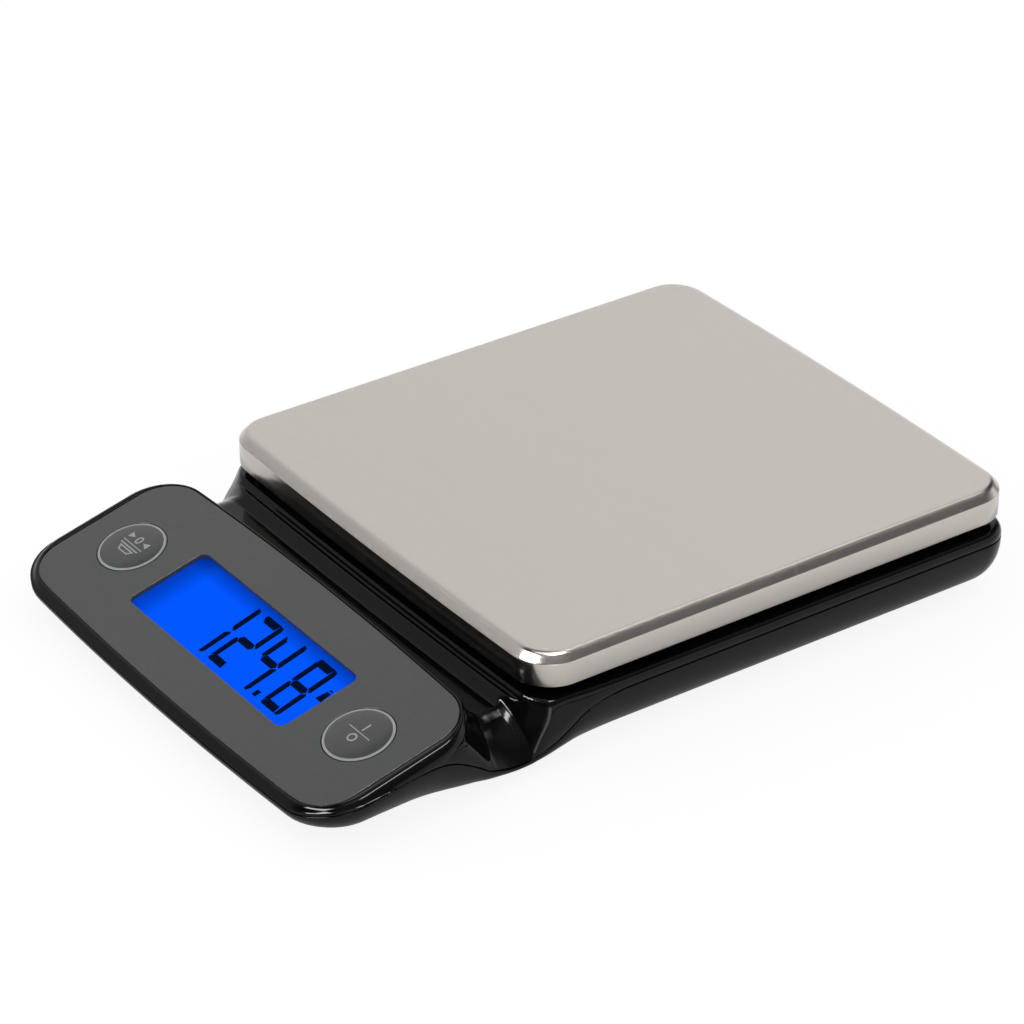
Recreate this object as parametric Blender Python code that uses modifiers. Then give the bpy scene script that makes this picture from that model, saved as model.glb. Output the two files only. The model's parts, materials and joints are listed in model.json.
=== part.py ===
"""Battery kitchen scale: a steel weighing platform on a black base with a tilted display panel.

The display faces -Y and the user's right is +X. The origin is at the middle of the base, on the
surface that the scale stands on. Lengths are in millimetres here, and MM turns them into metres.
"""

import math

import bmesh
import bpy
from mathutils import Matrix, Vector

MM = 0.001
GAP = 0.3

# Base
BASE_HALF_WIDTH = 68.2
BASE_FRONT_Y = -102.6
BASE_BACK_Y = 102.6
BASE_BACK_RADIUS = 8.8
BASE_BACK_BOW = 1.0
BASE_BOTTOM_Z = 1.4
BASE_SIDE_INSET = 10.5
WALL = 2.0
FLOOR_Z = BASE_BOTTOM_Z + WALL

# Seam between the two halves of the base
SEAM_DECK_Z = 14.2
SEAM_WAIST_Z = 4.3
SEAM_PANEL_Z = 13.4
SEAM_DECK_Y = -17.5
SEAM_WAIST_Y = -45.4
SEAM_PANEL_Y = -67.2
SEAM_PANEL_SLOPE = 0.155
SEAM_FRONT_DROP = 1.4
SEAM_FRONT_Y = -94.0

# Deck and neck of the top half
DECK_Z = 17.4
DECK_FRONT_Y = -40.9
DECK_THICKNESS = 2.2
LEDGE_Z = 16.0
VALLEY_Z = 12.2
SHOULDER_RADIUS = 2.8
NECK_SIDE_REACH = 9.0
NECK_START_Y = -32.4
NECK_END_Y = -42.4

# Display panel
PANEL_TILT = math.radians(14.3)
PANEL_CENTRE = Vector((0.0, -77.7, 15.06))
PANEL_HALF_WIDTH = 69.4
PANEL_BACK_Y = -51.9
PANEL_RADIUS = 14.0
PANEL_BOW = 1.9
PANEL_THICKNESS = 2.7
RIM_WIDTH = 1.2
FASCIA_HALF_WIDTH = 65.9
FASCIA_HALF_DEPTH = 23.75
FASCIA_RADIUS = 10.5
FASCIA_THICKNESS = 1.2
WINDOW_HALF_WIDTH = 33.9
WINDOW_HALF_DEPTH = 11.25
WINDOW_RADIUS = 2.2
BUTTON_X = 50.0
BUTTON_RADIUS = 8.65
BUTTON_FLANGE_RADIUS = 9.3
BUTTON_CROWN = 0.5
BUTTON_PLACES = ((-BUTTON_X, 0.0), (BUTTON_X, 0.0))

# Depths below the panel's face
LEDGE_DEPTH = FASCIA_THICKNESS + GAP
LCD_TOP = PANEL_THICKNESS + GAP
LCD_THICKNESS = 1.4
LIGHT_TOP = LCD_TOP + LCD_THICKNESS + GAP
LIGHT_THICKNESS = 1.6
BOARD_TOP = LIGHT_TOP + LIGHT_THICKNESS + GAP
BOARD_THICKNESS = 1.0
SWITCH_TOP = 3.3
PLUNGER_TOP = 2.4

# Steel platform and its carrier
PLATFORM_CENTRE_Y = 30.6
PLATFORM_HALF_WIDTH = 67.5
PLATFORM_HALF_DEPTH = 71.9
PLATFORM_RADIUS = 10.1
PLATFORM_BOW = 1.1
SKIRT_BOTTOM_Z = 20.5
CREASE_Z = 26.6
PLATFORM_TOP_Z = 28.7
CHAMFER_WIDTH = 1.95
STEEL_THICKNESS = 0.6
CARRIER_INSET = 3.0
CARRIER_TOP_Z = 27.0
CARRIER_THICKNESS = 2.0
CARRIER_RIB_Z = 21.5
TAPE_THICKNESS = 0.5

# Load cell, an aluminium beam along Y under the platform's middle
CELL_WIDTH = 12.7
CELL_LENGTH = 75.0
CELL_BOTTOM_Z = 6.6
CELL_TOP_Z = 14.6
CELL_HOLE_RADIUS = 2.8
CELL_HOLE_SPREAD = 8.0
CELL_SCREW_OFFSETS = (24.0, 33.0)
SPACER_THICKNESS = 0.8
PLATFORM_TRAVEL_GAP = 0.5
BOSS_WIDTH = 16.0
BOSS_LENGTH = 20.0

# Battery bay, for two AAA cells side by side
CELL_RADIUS = 5.15
BATTERY_LENGTH = 44.5
BATTERY_X = (26.0, 37.4)
BATTERY_Z = 8.9
BAY_LOW = Vector((19.4, 5.8, -1.0))
BAY_HIGH = Vector((44.0, 57.2, 14.1))
BAY_WALL = 1.2
DOOR_THICKNESS = 1.5

# Fasteners and feet: (x, y) places
HOUSING_SCREWS = ((45.0, -94.5), (52.0, -57.5), (52.0, 92.0))
STOP_SCREWS = ((50.0, PLATFORM_CENTRE_Y - 56.0), (50.0, PLATFORM_CENTRE_Y + 56.0))
FEET = ((49.0, -84.0), (49.0, 80.0))
FOOT_RADIUS = 5.0
FOOT_RECESS = 0.6

PANEL_FRAME = Matrix.Translation(PANEL_CENTRE * MM) @ Matrix.Rotation(PANEL_TILT, 4, "X")


# --- Scene, materials and objects ---------------------------------------------------------------

def clear_scene():
    for obj in list(bpy.data.objects):
        bpy.data.objects.remove(obj, do_unlink=True)


def new_collection(name):
    collection = bpy.data.collections.new(name)
    bpy.context.scene.collection.children.link(collection)
    return collection


def material(name, colour, roughness, metallic=0.0):
    made = bpy.data.materials.new(name)
    made.use_nodes = True
    shader = made.node_tree.nodes["Principled BSDF"]
    shader.inputs["Base Color"].default_value = (*colour, 1.0)
    shader.inputs["Roughness"].default_value = roughness
    shader.inputs["Metallic"].default_value = metallic
    return made


clear_scene()
PARTS = new_collection("kitchen_scale")
CUTTERS = new_collection("kitchen_scale_cutters")

STEEL = material("brushed_steel", (0.62, 0.59, 0.55), 0.32, 1.0)
BLACK_GLOSS = material("black_gloss_plastic", (0.012, 0.012, 0.013), 0.12)
BLACK_MATTE = material("black_plastic", (0.02, 0.02, 0.02), 0.5)
GREY_FASCIA = material("grey_fascia", (0.11, 0.112, 0.115), 0.25)
CLEAR = material("clear_acrylic", (0.85, 0.9, 1.0), 0.05)
LCD_BLUE = material("lcd_blue", (0.0, 0.08, 1.0), 0.2)
WHITE_PLASTIC = material("white_plastic", (0.8, 0.8, 0.78), 0.4)
BOARD_GREEN = material("board_green", (0.02, 0.16, 0.06), 0.45)
ALUMINIUM = material("aluminium", (0.75, 0.76, 0.78), 0.35, 1.0)
ZINC = material("zinc_plated_steel", (0.7, 0.7, 0.68), 0.3, 1.0)
NICKEL = material("nickel_plated_steel", (0.72, 0.7, 0.66), 0.25, 1.0)
RUBBER = material("rubber", (0.03, 0.03, 0.03), 0.85)
SILICONE = material("white_silicone", (0.85, 0.85, 0.82), 0.6)
TAPE = material("foam_tape", (0.75, 0.75, 0.72), 0.9)
BATTERY_WRAP = material("battery_wrap", (0.10, 0.22, 0.12), 0.35)
WIRE_RED = material("red_wire", (0.5, 0.02, 0.02), 0.5)
WIRE_BLACK = material("black_wire", (0.02, 0.02, 0.02), 0.5)
CABLE_GREY = material("grey_cable", (0.35, 0.35, 0.36), 0.55)


def add_object(name, mesh, look, frame=None):
    """An object of this mesh among the parts, or among the cutters where it has no look."""
    obj = bpy.data.objects.new(name, mesh)
    if look is None:
        CUTTERS.objects.link(obj)
        obj.hide_render = True
        obj.display_type = "WIRE"
    else:
        PARTS.objects.link(obj)
        mesh.materials.append(look)
        mesh.shade_smooth()
        mesh.set_sharp_from_angle(angle=math.radians(35))
    if frame is not None:
        obj.matrix_world = frame
    return obj


def mesh_from(bm, name):
    bmesh.ops.recalc_face_normals(bm, faces=bm.faces)
    mesh = bpy.data.meshes.new(name)
    bm.to_mesh(mesh)
    bm.free()
    return mesh


def box(name, low, high, look, frame=None):
    low, high = Vector(low), Vector(high)
    bm = bmesh.new()
    size = Matrix.Diagonal((high - low) * MM).to_4x4()
    bmesh.ops.create_cube(bm, size=1.0, matrix=Matrix.Translation((low + high) * MM / 2) @ size)
    return add_object(name, mesh_from(bm, name), look, frame)


def cylinders(name, places, radius, low, high, look, frame=None, sides=20, axis="Z"):
    """Cylinders in one mesh, centred on places. A flat place (x, y) goes with an upright axis."""
    turn = Matrix.Rotation(math.radians(90), 4, "Y") if axis == "X" else Matrix.Identity(4)
    bm = bmesh.new()
    for place in places:
        centre = Vector((*place, (low + high) / 2)) if axis == "Z" else Vector((0.0, *place))
        bmesh.ops.create_cone(
            bm, cap_ends=True, segments=sides, radius1=radius * MM, radius2=radius * MM,
            depth=(high - low) * MM, matrix=Matrix.Translation(centre * MM) @ turn)
    return add_object(name, mesh_from(bm, name), look, frame)


def turned(name, profile, place, look, steps=16, frame=None, turn=None):
    """A turned piece: (radius, height) points down its outer side, spun about its own Z."""
    mesh = bpy.data.meshes.new(name)
    points = [(radius * MM, 0.0, height * MM) for radius, height in profile]
    mesh.from_pydata(points, [(i, i + 1) for i in range(len(points) - 1)], [])
    here = Matrix.Translation(Vector(place) * MM)
    if turn is not None:
        here = here @ turn
    obj = add_object(name, mesh, look, here if frame is None else frame @ here)
    spin = obj.modifiers.new("turn", "SCREW")
    spin.steps = steps
    spin.render_steps = steps
    spin.use_merge_vertices = True
    spin.merge_threshold = 0.00001
    spin.use_smooth_shade = True
    return obj


def ring_loft(name, rings, look, frame=None):
    """A closed solid through rings of equal point counts, capped at both ends."""
    bm = bmesh.new()
    rows = [[bm.verts.new(Vector(point) * MM) for point in ring] for ring in rings]
    for lower, upper in zip(rows, rows[1:]):
        for i in range(len(lower)):
            j = (i + 1) % len(lower)
            bm.faces.new((lower[i], lower[j], upper[j], upper[i]))
    bm.faces.new(rows[0])
    bm.faces.new(rows[-1])
    return add_object(name, mesh_from(bm, name), look, frame)


def wire(name, points, radius, look):
    """A round wire along points, smoothed by a quadratic mean, with closed ends."""
    smooth = [Vector(points[0])]
    for before, at, after in zip(points, points[1:], points[2:]):
        before, at, after = Vector(before), Vector(at), Vector(after)
        smooth.append((before + at * 3) / 4)
        smooth.append((at * 3 + after) / 4)
    smooth.append(Vector(points[-1]))
    return tube(name, smooth, radius, look)


def tube(name, points, radius, look):
    curve = bpy.data.curves.new(name, "CURVE")
    curve.dimensions = "3D"
    curve.bevel_depth = radius * MM
    curve.bevel_resolution = 2
    curve.use_fill_caps = True
    spline = curve.splines.new("POLY")
    spline.points.add(len(points) - 1)
    for point, place in zip(spline.points, points):
        point.co = (*(Vector(place) * MM), 1.0)
    obj = bpy.data.objects.new(name, curve)
    PARTS.objects.link(obj)
    curve.materials.append(look)
    return obj


def combine(obj, other, operation):
    change = obj.modifiers.new(operation.lower() + "_" + other.name, "BOOLEAN")
    change.operation = operation
    change.object = other
    change.solver = "EXACT"


def cut(obj, *others):
    for other in others:
        combine(obj, other, "DIFFERENCE")


def join(obj, *others):
    for other in others:
        combine(obj, other, "UNION")


def body_empty(name, place, turn=None):
    """An empty on a joint's axis, which carries the pieces that move on it."""
    empty = bpy.data.objects.new(name, None)
    PARTS.objects.link(empty)
    empty.matrix_world = Matrix.Translation(Vector(place) * MM) @ (turn or Matrix.Identity(4))
    return empty


def carry(empty, *pieces):
    for piece in pieces:
        placed = piece.matrix_world.copy()
        piece.parent = empty
        piece.matrix_parent_inverse = empty.matrix_world.inverted()
        piece.matrix_world = placed


# --- Shapes of the base ------------------------------------------------------------------------

def smoothstep(value):
    value = min(max(value, 0.0), 1.0)
    return value * value * (3.0 - 2.0 * value)


def round_step(value):
    value = min(max(value, 0.0), 1.0)
    return math.sqrt(1.0 - (1.0 - value) ** 2)


def mix(first, second, share):
    return first + (second - first) * share


def panel_z(y):
    """Height of the tilted panel's face."""
    return PANEL_CENTRE.z + (y - PANEL_CENTRE.y) * math.tan(PANEL_TILT)


def seam_z(y):
    """Height of the seam, which dips at the waist between the platform and the panel."""
    if y > SEAM_WAIST_Y:
        rise = smoothstep((y - SEAM_WAIST_Y) / (SEAM_DECK_Y - SEAM_WAIST_Y))
        return mix(SEAM_WAIST_Z, SEAM_DECK_Z, rise)
    if y > SEAM_PANEL_Y:
        rise = smoothstep((y - SEAM_WAIST_Y) / (SEAM_PANEL_Y - SEAM_WAIST_Y))
        return mix(SEAM_WAIST_Z, SEAM_PANEL_Z, rise)
    drop = SEAM_FRONT_DROP * smoothstep((SEAM_FRONT_Y - y) / (SEAM_FRONT_Y - BASE_FRONT_Y))
    return SEAM_PANEL_Z - SEAM_PANEL_SLOPE * (SEAM_PANEL_Y - y) - drop


def half_width(y):
    """Half of the base's width at the seam, a little wider at the panel."""
    return mix(BASE_HALF_WIDTH, PANEL_HALF_WIDTH, smoothstep((-30.0 - y) / 30.0))


def rounded_outline(half_x, y_front, y_back, radii, bows, arc_steps=5, edge_steps=4):
    """Points of a rectangle with rounded corners, its front and back edges bowed outwards."""
    r_front, r_back = radii
    corners = (
        (half_x - r_front, y_front + r_front, r_front, -90),
        (half_x - r_back, y_back - r_back, r_back, 0),
        (-half_x + r_back, y_back - r_back, r_back, 90),
        (-half_x + r_front, y_front + r_front, r_front, 180),
    )
    points = []
    for index, (x, y, radius, start) in enumerate(corners):
        for step in range(arc_steps + 1):
            angle = math.radians(start + 90 * step / arc_steps)
            points.append((x + radius * math.cos(angle), y + radius * math.sin(angle)))
        following = corners[(index + 1) % 4]
        if index in (1, 3):
            for step in range(1, edge_steps):
                share = step / edge_steps
                points.append((mix(x, following[0], share), points[-1][1]))
    middle = (y_front + y_back) / 2
    bowed = []
    for x, y in points:
        share = (y - middle) / (y_back - middle)
        bow = bows[1] if share > 0 else bows[0]
        bowed.append((x, y - bow * (x / half_x) ** 2 * share))
    return bowed


def base_outline(inset, heights):
    """The base's outline moved in by inset, with the panel's wider front, at heights(y)."""
    radii = (max(PANEL_RADIUS - inset, 3.5), max(BASE_BACK_RADIUS - 0.6 * inset, 2.5))
    corner_y = (BASE_FRONT_Y + inset + radii[0], BASE_BACK_Y - inset - radii[1])
    sides = (-78.0, -70.0) + tuple(range(-65, -15, 5)) + (30.0,)
    outline = rounded_outline(
        PANEL_HALF_WIDTH - inset, BASE_FRONT_Y + inset, BASE_BACK_Y - inset, radii,
        (PANEL_BOW, BASE_BACK_BOW))
    ring = []
    for (x, y), (next_x, next_y) in zip(outline, outline[1:] + outline[:1]):
        ring.append((x, y))
        if abs(next_y - y) > 100.0:
            stations = sides if next_y > y else reversed(sides)
            ring.extend((x, station) for station in stations if corner_y[0] < station < corner_y[1])
    shaped = []
    for x, y in ring:
        x *= (half_width(y) - inset) / (PANEL_HALF_WIDTH - inset)
        shaped.append((x, y, heights(y)))
    return shaped


# --- Bottom half of the base --------------------------------------------------------------------

def make_bottom_housing():
    rings = []
    for step in (4, 3, 2, 1, 0):
        angle = math.radians(90 * step / 4)
        inset = BASE_SIDE_INSET * (1.0 - math.cos(angle))

        def outer_z(y, low=math.sin(angle)):
            return mix(seam_z(y) - GAP, BASE_BOTTOM_Z, low)

        rings.append(base_outline(inset, outer_z))
    for step in (0, 1, 2, 3):
        angle = math.radians(90 * step / 3)
        inset = WALL + (BASE_SIDE_INSET - WALL) * (1.0 - math.cos(angle))

        def inner_z(y, low=math.sin(angle)):
            return mix(seam_z(y) - GAP, FLOOR_Z, low)

        rings.append(base_outline(inset, inner_z))
    shell = ring_loft("bottom_housing", rings, BLACK_GLOSS)

    bay_low = (BAY_LOW.x - BAY_WALL, BAY_LOW.y - BAY_WALL, BASE_BOTTOM_Z + 0.4)
    bay_high = (BAY_HIGH.x + BAY_WALL, BAY_HIGH.y + BAY_WALL, BAY_HIGH.z + 0.5)
    fixed_y = PLATFORM_CENTRE_Y - CELL_SCREW_OFFSETS[1] - 5.0
    pedestal_top = CELL_BOTTOM_Z - SPACER_THICKNESS - 2 * GAP
    join(
        shell,
        box("bay_block", bay_low, bay_high, None),
        box("cell_pedestal", (-8.0, fixed_y, BASE_BOTTOM_Z + 0.4),
            (8.0, fixed_y + 18.6, pedestal_top), None),
    )
    for index, (x, y) in enumerate(HOUSING_SCREWS):
        top = boss_split_z(y) - GAP
        places = ((x, y), (-x, y))
        join(shell, cylinders(f"boss_{index}", places, 3.8, BASE_BOTTOM_Z + 0.4, top, None))
        cut(
            shell,
            cylinders(f"boss_bore_{index}", places, 1.5, -1.0, top + 2.0, None, sides=12),
            cylinders(f"boss_recess_{index}", places, 3.2, -1.0, FLOOR_Z - 0.4, None),
        )
    fixed = [(0.0, PLATFORM_CENTRE_Y - offset) for offset in CELL_SCREW_OFFSETS]
    feet = [(side * x, y) for x, y in FEET for side in (-1, 1)]
    cut(
        shell,
        box("bay_space", BAY_LOW, BAY_HIGH, None),
        cylinders("cell_bores", fixed, 2.3, -1.0, pedestal_top + 2.0, None),
        cylinders("cell_recesses", fixed, 4.2, -1.0, FLOOR_Z, None),
        cylinders("foot_recesses", feet, FOOT_RADIUS + GAP, -1.0, BASE_BOTTOM_Z + FOOT_RECESS, None),
        box("hinge_slots", (24.0, 56.0, 1.0), (39.4, 59.4, 4.6), None),
        box("latch_scoop", (27.0, 2.4, -1.0), (36.4, 6.0, 2.4), None),
        box("wire_notch", (22.0, 4.0, 6.0), (41.0, 6.5, 8.6), None),
    )
    return shell


def boss_split_z(y):
    """Height where a screw boss of the bottom half meets the one of the top half."""
    return 6.0 if y < -90.0 else 9.0


# --- Top half of the base ------------------------------------------------------------------------

def deck_profile_z(y):
    """Height along the middle, from the valley behind the panel up to the deck."""
    points = (
        (-53.2, VALLEY_Z + 1.0), (-50.7, VALLEY_Z), (-45.8, VALLEY_Z), (-43.6, VALLEY_Z + 1.6),
        (-42.7, LEDGE_Z), (-41.8, LEDGE_Z - 0.2), (DECK_FRONT_Y, DECK_Z),
    )
    if y <= points[0][0]:
        return points[0][1]
    for (y0, z0), (y1, z1) in zip(points, points[1:]):
        if y <= y1:
            return mix(z0, z1, (y - y0) / (y1 - y0))
    return DECK_Z


def neck_share(y):
    """1 where the sides sweep in at the waist, and 0 beside the platform."""
    return smoothstep((NECK_START_Y - y) / (NECK_START_Y - NECK_END_Y))


def deck_edge_x(y, inset):
    """Half width of the deck at y, round at the back corners."""
    radius = max(BASE_BACK_RADIUS - 0.6 * inset, 2.5)
    straight = half_width(y) - inset - (0.5 if y < -62.0 else 0.0)
    start = BASE_BACK_Y - inset - radius
    if y <= start:
        return straight
    along = min(y - start, radius)
    return straight - radius + math.sqrt(max(radius * radius - along * along, 0.0))


def deck_z(x, y, edge_distance):
    """Height of the deck and neck at a distance in from the outline."""
    top = deck_profile_z(y)
    shoulder = round_step(edge_distance / SHOULDER_RADIUS)
    sweep = smoothstep(edge_distance / NECK_SIDE_REACH)
    return mix(seam_z(y), top, mix(shoulder, sweep, neck_share(y)))


def deck_grid(name, inset, lower, look, front_y):
    """A closed solid under the deck's surface: rows along Y, each from side to side."""
    rows_y = [front_y, -58.0, -54.5, -53.2, -50.7, -48.0, -45.8, -43.6, -42.7, -41.8, DECK_FRONT_Y]
    rows_y += [-38.5, -35.5, -32.5, -28.0, -23.0, -17.0, 30.0]
    back = BASE_BACK_Y - inset
    rows_y += [back - depth for depth in (12.0, 8.0, 5.0, 2.8, 1.3, 0.4, 0.0)]
    steps = (0.0, 0.4, 1.3, 2.8, 4.5, 6.2, 7.8, 9.5, 25.0)
    bm = bmesh.new()
    upper, under = [], []
    for y in rows_y:
        edge = deck_edge_x(y, inset)
        places = [-(edge - step) for step in steps] + [edge - step for step in reversed(steps)]
        line = []
        for x in places:
            from_side = edge - abs(x)
            distance = inset + min(from_side, back - y)
            bow = BASE_BACK_BOW * (x / BASE_HALF_WIDTH) ** 2 * max(y, 0.0) / BASE_BACK_Y
            line.append((x, y - bow, deck_z(x, y, distance) - lower))
        upper.append([bm.verts.new(Vector(point) * MM) for point in line])
        under.append([bm.verts.new(Vector((point[0], point[1], -2.0)) * MM) for point in line])
    columns = len(steps) * 2
    for surface in (upper, under):
        for near, far in zip(surface, surface[1:]):
            for i in range(columns - 1):
                bm.faces.new((near[i], near[i + 1], far[i + 1], far[i]))
    rim_top = upper[0] + [row[-1] for row in upper[1:-1]] + upper[-1][::-1]
    rim_top += [row[0] for row in upper[-2:0:-1]]
    rim_low = under[0] + [row[-1] for row in under[1:-1]] + under[-1][::-1]
    rim_low += [row[0] for row in under[-2:0:-1]]
    for i in range(len(rim_top)):
        j = (i + 1) % len(rim_top)
        bm.faces.new((rim_top[i], rim_top[j], rim_low[j], rim_low[i]))
    return add_object(name, mesh_from(bm, name), look)


def panel_ring(inset, depth):
    """The panel's outline at a depth below its face, or at a fixed height where depth is None."""
    radii = (PANEL_RADIUS - inset, PANEL_RADIUS - inset)
    outline = rounded_outline(
        PANEL_HALF_WIDTH - inset, BASE_FRONT_Y + inset, PANEL_BACK_Y - inset, radii,
        (PANEL_BOW, PANEL_BOW), arc_steps=6)
    return [(x, y, -2.0 if depth is None else panel_z(y) - depth) for x, y in outline]


def seam_cutter():
    """Everything under the seam, drawn in the YZ plane and extruded across."""
    stations = [-110.0, BASE_FRONT_Y, -98.0, -94.0, -80.0]
    stations += [SEAM_PANEL_Y + 2.75 * step for step in range(9)]
    stations += [SEAM_WAIST_Y + 3.5 * step for step in range(1, 9)] + [110.0]
    profile = [(y, seam_z(y)) for y in stations] + [(110.0, -10.0), (-110.0, -10.0)]
    rings = [[(x, y, z) for y, z in profile] for x in (-90.0, 90.0)]
    return ring_loft("below_seam", rings, None)


def make_top_housing():
    shell = deck_grid("top_housing", 0.0, 0.0, BLACK_GLOSS, -64.0)
    join(shell, ring_loft("panel_block", [
        panel_ring(0.0, None), panel_ring(0.0, 2.0), panel_ring(0.45, 0.7), panel_ring(RIM_WIDTH, 0.0),
    ], None))
    cut(
        shell,
        deck_grid("deck_space", WALL, DECK_THICKNESS, None, -66.0),
        ring_loft("panel_space", [panel_ring(WALL, None), panel_ring(WALL, PANEL_THICKNESS)], None),
        seam_cutter(),
    )
    for index, (x, y) in enumerate(HOUSING_SCREWS):
        places = ((x, y), (-x, y))
        roof = (panel_z(y) - PANEL_THICKNESS if y < -55.0 else DECK_Z - DECK_THICKNESS) + 0.4
        split = boss_split_z(y)
        join(shell, cylinders(f"post_{index}", places, 3.4, split, roof, None))
        cut(shell, cylinders(f"post_bore_{index}", places, 1.5, split - 1.0, roof - 1.2, None, sides=12))
    free_y = PLATFORM_CENTRE_Y + sum(CELL_SCREW_OFFSETS) / 2
    stops = [(side * x, y) for x, y in STOP_SCREWS for side in (-1, 1)]
    cut(
        shell,
        flat_plate("fascia_seat", fascia_outline(-GAP), -LEDGE_DEPTH, 5.0, None, PANEL_FRAME),
        box("board_space", (-62.0, -20.0, -12.0), (62.0, 19.3, -4.0), None, PANEL_FRAME),
        box("lcd_opening", (-36.0, -13.5, -6.0), (36.0, 13.5, 1.0), None, PANEL_FRAME),
        cylinders("button_openings", BUTTON_PLACES, BUTTON_FLANGE_RADIUS + GAP, -6.0, 1.0, None,
                  PANEL_FRAME, sides=32),
        box("boss_opening", (-BOSS_WIDTH / 2 - 2.0, free_y - BOSS_LENGTH / 2 - 2.0, 12.0),
            (BOSS_WIDTH / 2 + 2.0, free_y + BOSS_LENGTH / 2 + 2.0, 20.0), None),
        cylinders("stop_bores", stops, 1.7, 12.0, 20.0, None, sides=12),
    )
    return shell


# --- Display panel ------------------------------------------------------------------------------

def fascia_outline(inset):
    """Outline of the fascia in the panel's own X and Y, moved in by inset."""
    return rounded_outline(
        FASCIA_HALF_WIDTH - inset, -FASCIA_HALF_DEPTH + inset, FASCIA_HALF_DEPTH - inset,
        (FASCIA_RADIUS - inset, FASCIA_RADIUS - inset), (PANEL_BOW, PANEL_BOW), arc_steps=6)


def window_outline(grow):
    return rounded_outline(
        WINDOW_HALF_WIDTH + grow, -WINDOW_HALF_DEPTH - grow, WINDOW_HALF_DEPTH + grow,
        (WINDOW_RADIUS + grow, WINDOW_RADIUS + grow), (0.0, 0.0), arc_steps=4, edge_steps=1)


def flat_plate(name, outline, low, high, look, frame):
    return ring_loft(name, [[(x, y, z) for x, y in outline] for z in (low, high)], look, frame)


def make_display():
    fascia = flat_plate("display_fascia", fascia_outline(0.0), -FASCIA_THICKNESS, 0.0, GREY_FASCIA,
                        PANEL_FRAME)
    cut(
        fascia,
        flat_plate("window_opening", window_outline(0.0), -3.0, 2.0, None, PANEL_FRAME),
        cylinders("fascia_holes", BUTTON_PLACES, BUTTON_RADIUS + GAP, -3.0, 2.0, None, PANEL_FRAME,
                  sides=32),
    )
    light_low = -LIGHT_TOP - LIGHT_THICKNESS
    board_low = -BOARD_TOP - BOARD_THICKNESS
    window_low = -PANEL_THICKNESS + 0.4
    flat_plate("lcd_window", window_outline(1.6), window_low, -LEDGE_DEPTH, CLEAR, PANEL_FRAME)
    box("lcd_glass", (-36.6, -14.0, -LCD_TOP - LCD_THICKNESS), (36.6, 14.0, -LCD_TOP), LCD_BLUE,
        PANEL_FRAME)
    box("backlight", (-36.0, -13.0, light_low), (36.0, 11.2, -LIGHT_TOP), WHITE_PLASTIC, PANEL_FRAME)
    frame = box("lcd_frame", (-39.2, -16.2, light_low), (39.2, 16.2, -LCD_TOP), WHITE_PLASTIC,
                PANEL_FRAME)
    cut(frame, box("frame_space", (-36.9, -14.3, -12.0), (36.9, 14.3, 0.0), None, PANEL_FRAME))
    box("zebra_strip", (-34.0, 11.7, light_low), (34.0, 13.9, -LIGHT_TOP), RUBBER, PANEL_FRAME)
    board = box("main_board", (-60.0, -13.0, board_low), (60.0, 17.0, -BOARD_TOP), BOARD_GREEN,
                PANEL_FRAME)
    screws = ((-44.0, 13.0), (44.0, 13.0))
    cut(board, cylinders("board_bores", screws, 1.5, -12.0, 0.0, None, PANEL_FRAME, sides=12))
    for name, (x, s) in zip(("board_screw_left", "board_screw_right"), screws):
        screw(name, (x, s, board_low - GAP), 2.3, 1.1, 1.0, 4.0, PANEL_FRAME, up=True)
    turned("controller_potting", (
        (0.0, board_low - GAP), (6.5, board_low - GAP), (6.0, board_low - 0.9),
        (3.6, board_low - 1.6), (0.0, board_low - 1.8)),
        (-20.0, 5.0, 0.0), BLACK_MATTE, frame=PANEL_FRAME)


def make_button(side, name):
    """A cap with a flange under the fascia and a softly crowned face, and its tact switch."""
    place = (side * BUTTON_X, 0.0, 0.0)
    crown = [(BUTTON_RADIUS * share, BUTTON_CROWN * (1.0 - share ** 4)) for share in (0.0, 0.5, 0.7, 0.9)]
    flange = -LEDGE_DEPTH
    cap = turned(name + "_button", crown + [
        (BUTTON_RADIUS, 0.0), (BUTTON_RADIUS, flange), (BUTTON_FLANGE_RADIUS, flange),
        (BUTTON_FLANGE_RADIUS, flange - 0.6), (0.0, flange - 0.6)], place, GREY_FASCIA, 32, PANEL_FRAME)
    x = side * BUTTON_X
    box(name + "_switch", (x - 3.0, -3.0, -BOARD_TOP + GAP), (x + 3.0, 3.0, -SWITCH_TOP), BLACK_MATTE,
        PANEL_FRAME)
    plunger = turned(name + "_switch_plunger", (
        (0.0, -PLUNGER_TOP), (1.7, -PLUNGER_TOP), (1.7, -SWITCH_TOP + GAP), (0.0, -SWITCH_TOP + GAP)),
        place, WHITE_PLASTIC, 12, PANEL_FRAME)
    tilt = Matrix.Rotation(PANEL_TILT, 4, "X")
    top = PANEL_FRAME @ (Vector(place) * MM) / MM
    carry(body_empty(name + "_button_axis", top, tilt), cap)
    carry(body_empty(name + "_plunger_axis", top, tilt), plunger)


# --- Fasteners -----------------------------------------------------------------------------------

def screw(name, place, head_radius, shank_radius, head_height, length, frame=None, up=False):
    """A pan-head screw with its head's bearing face at place. An up screw points up."""
    profile = (
        (0.0, head_height), (head_radius * 0.75, head_height), (head_radius, head_height * 0.45),
        (head_radius, 0.0), (shank_radius, 0.0), (shank_radius, -length), (0.0, -length))
    turn = Matrix.Rotation(math.pi, 4, "X") if up else None
    return turned(name, profile, place, ZINC, 12, frame, turn)


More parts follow.
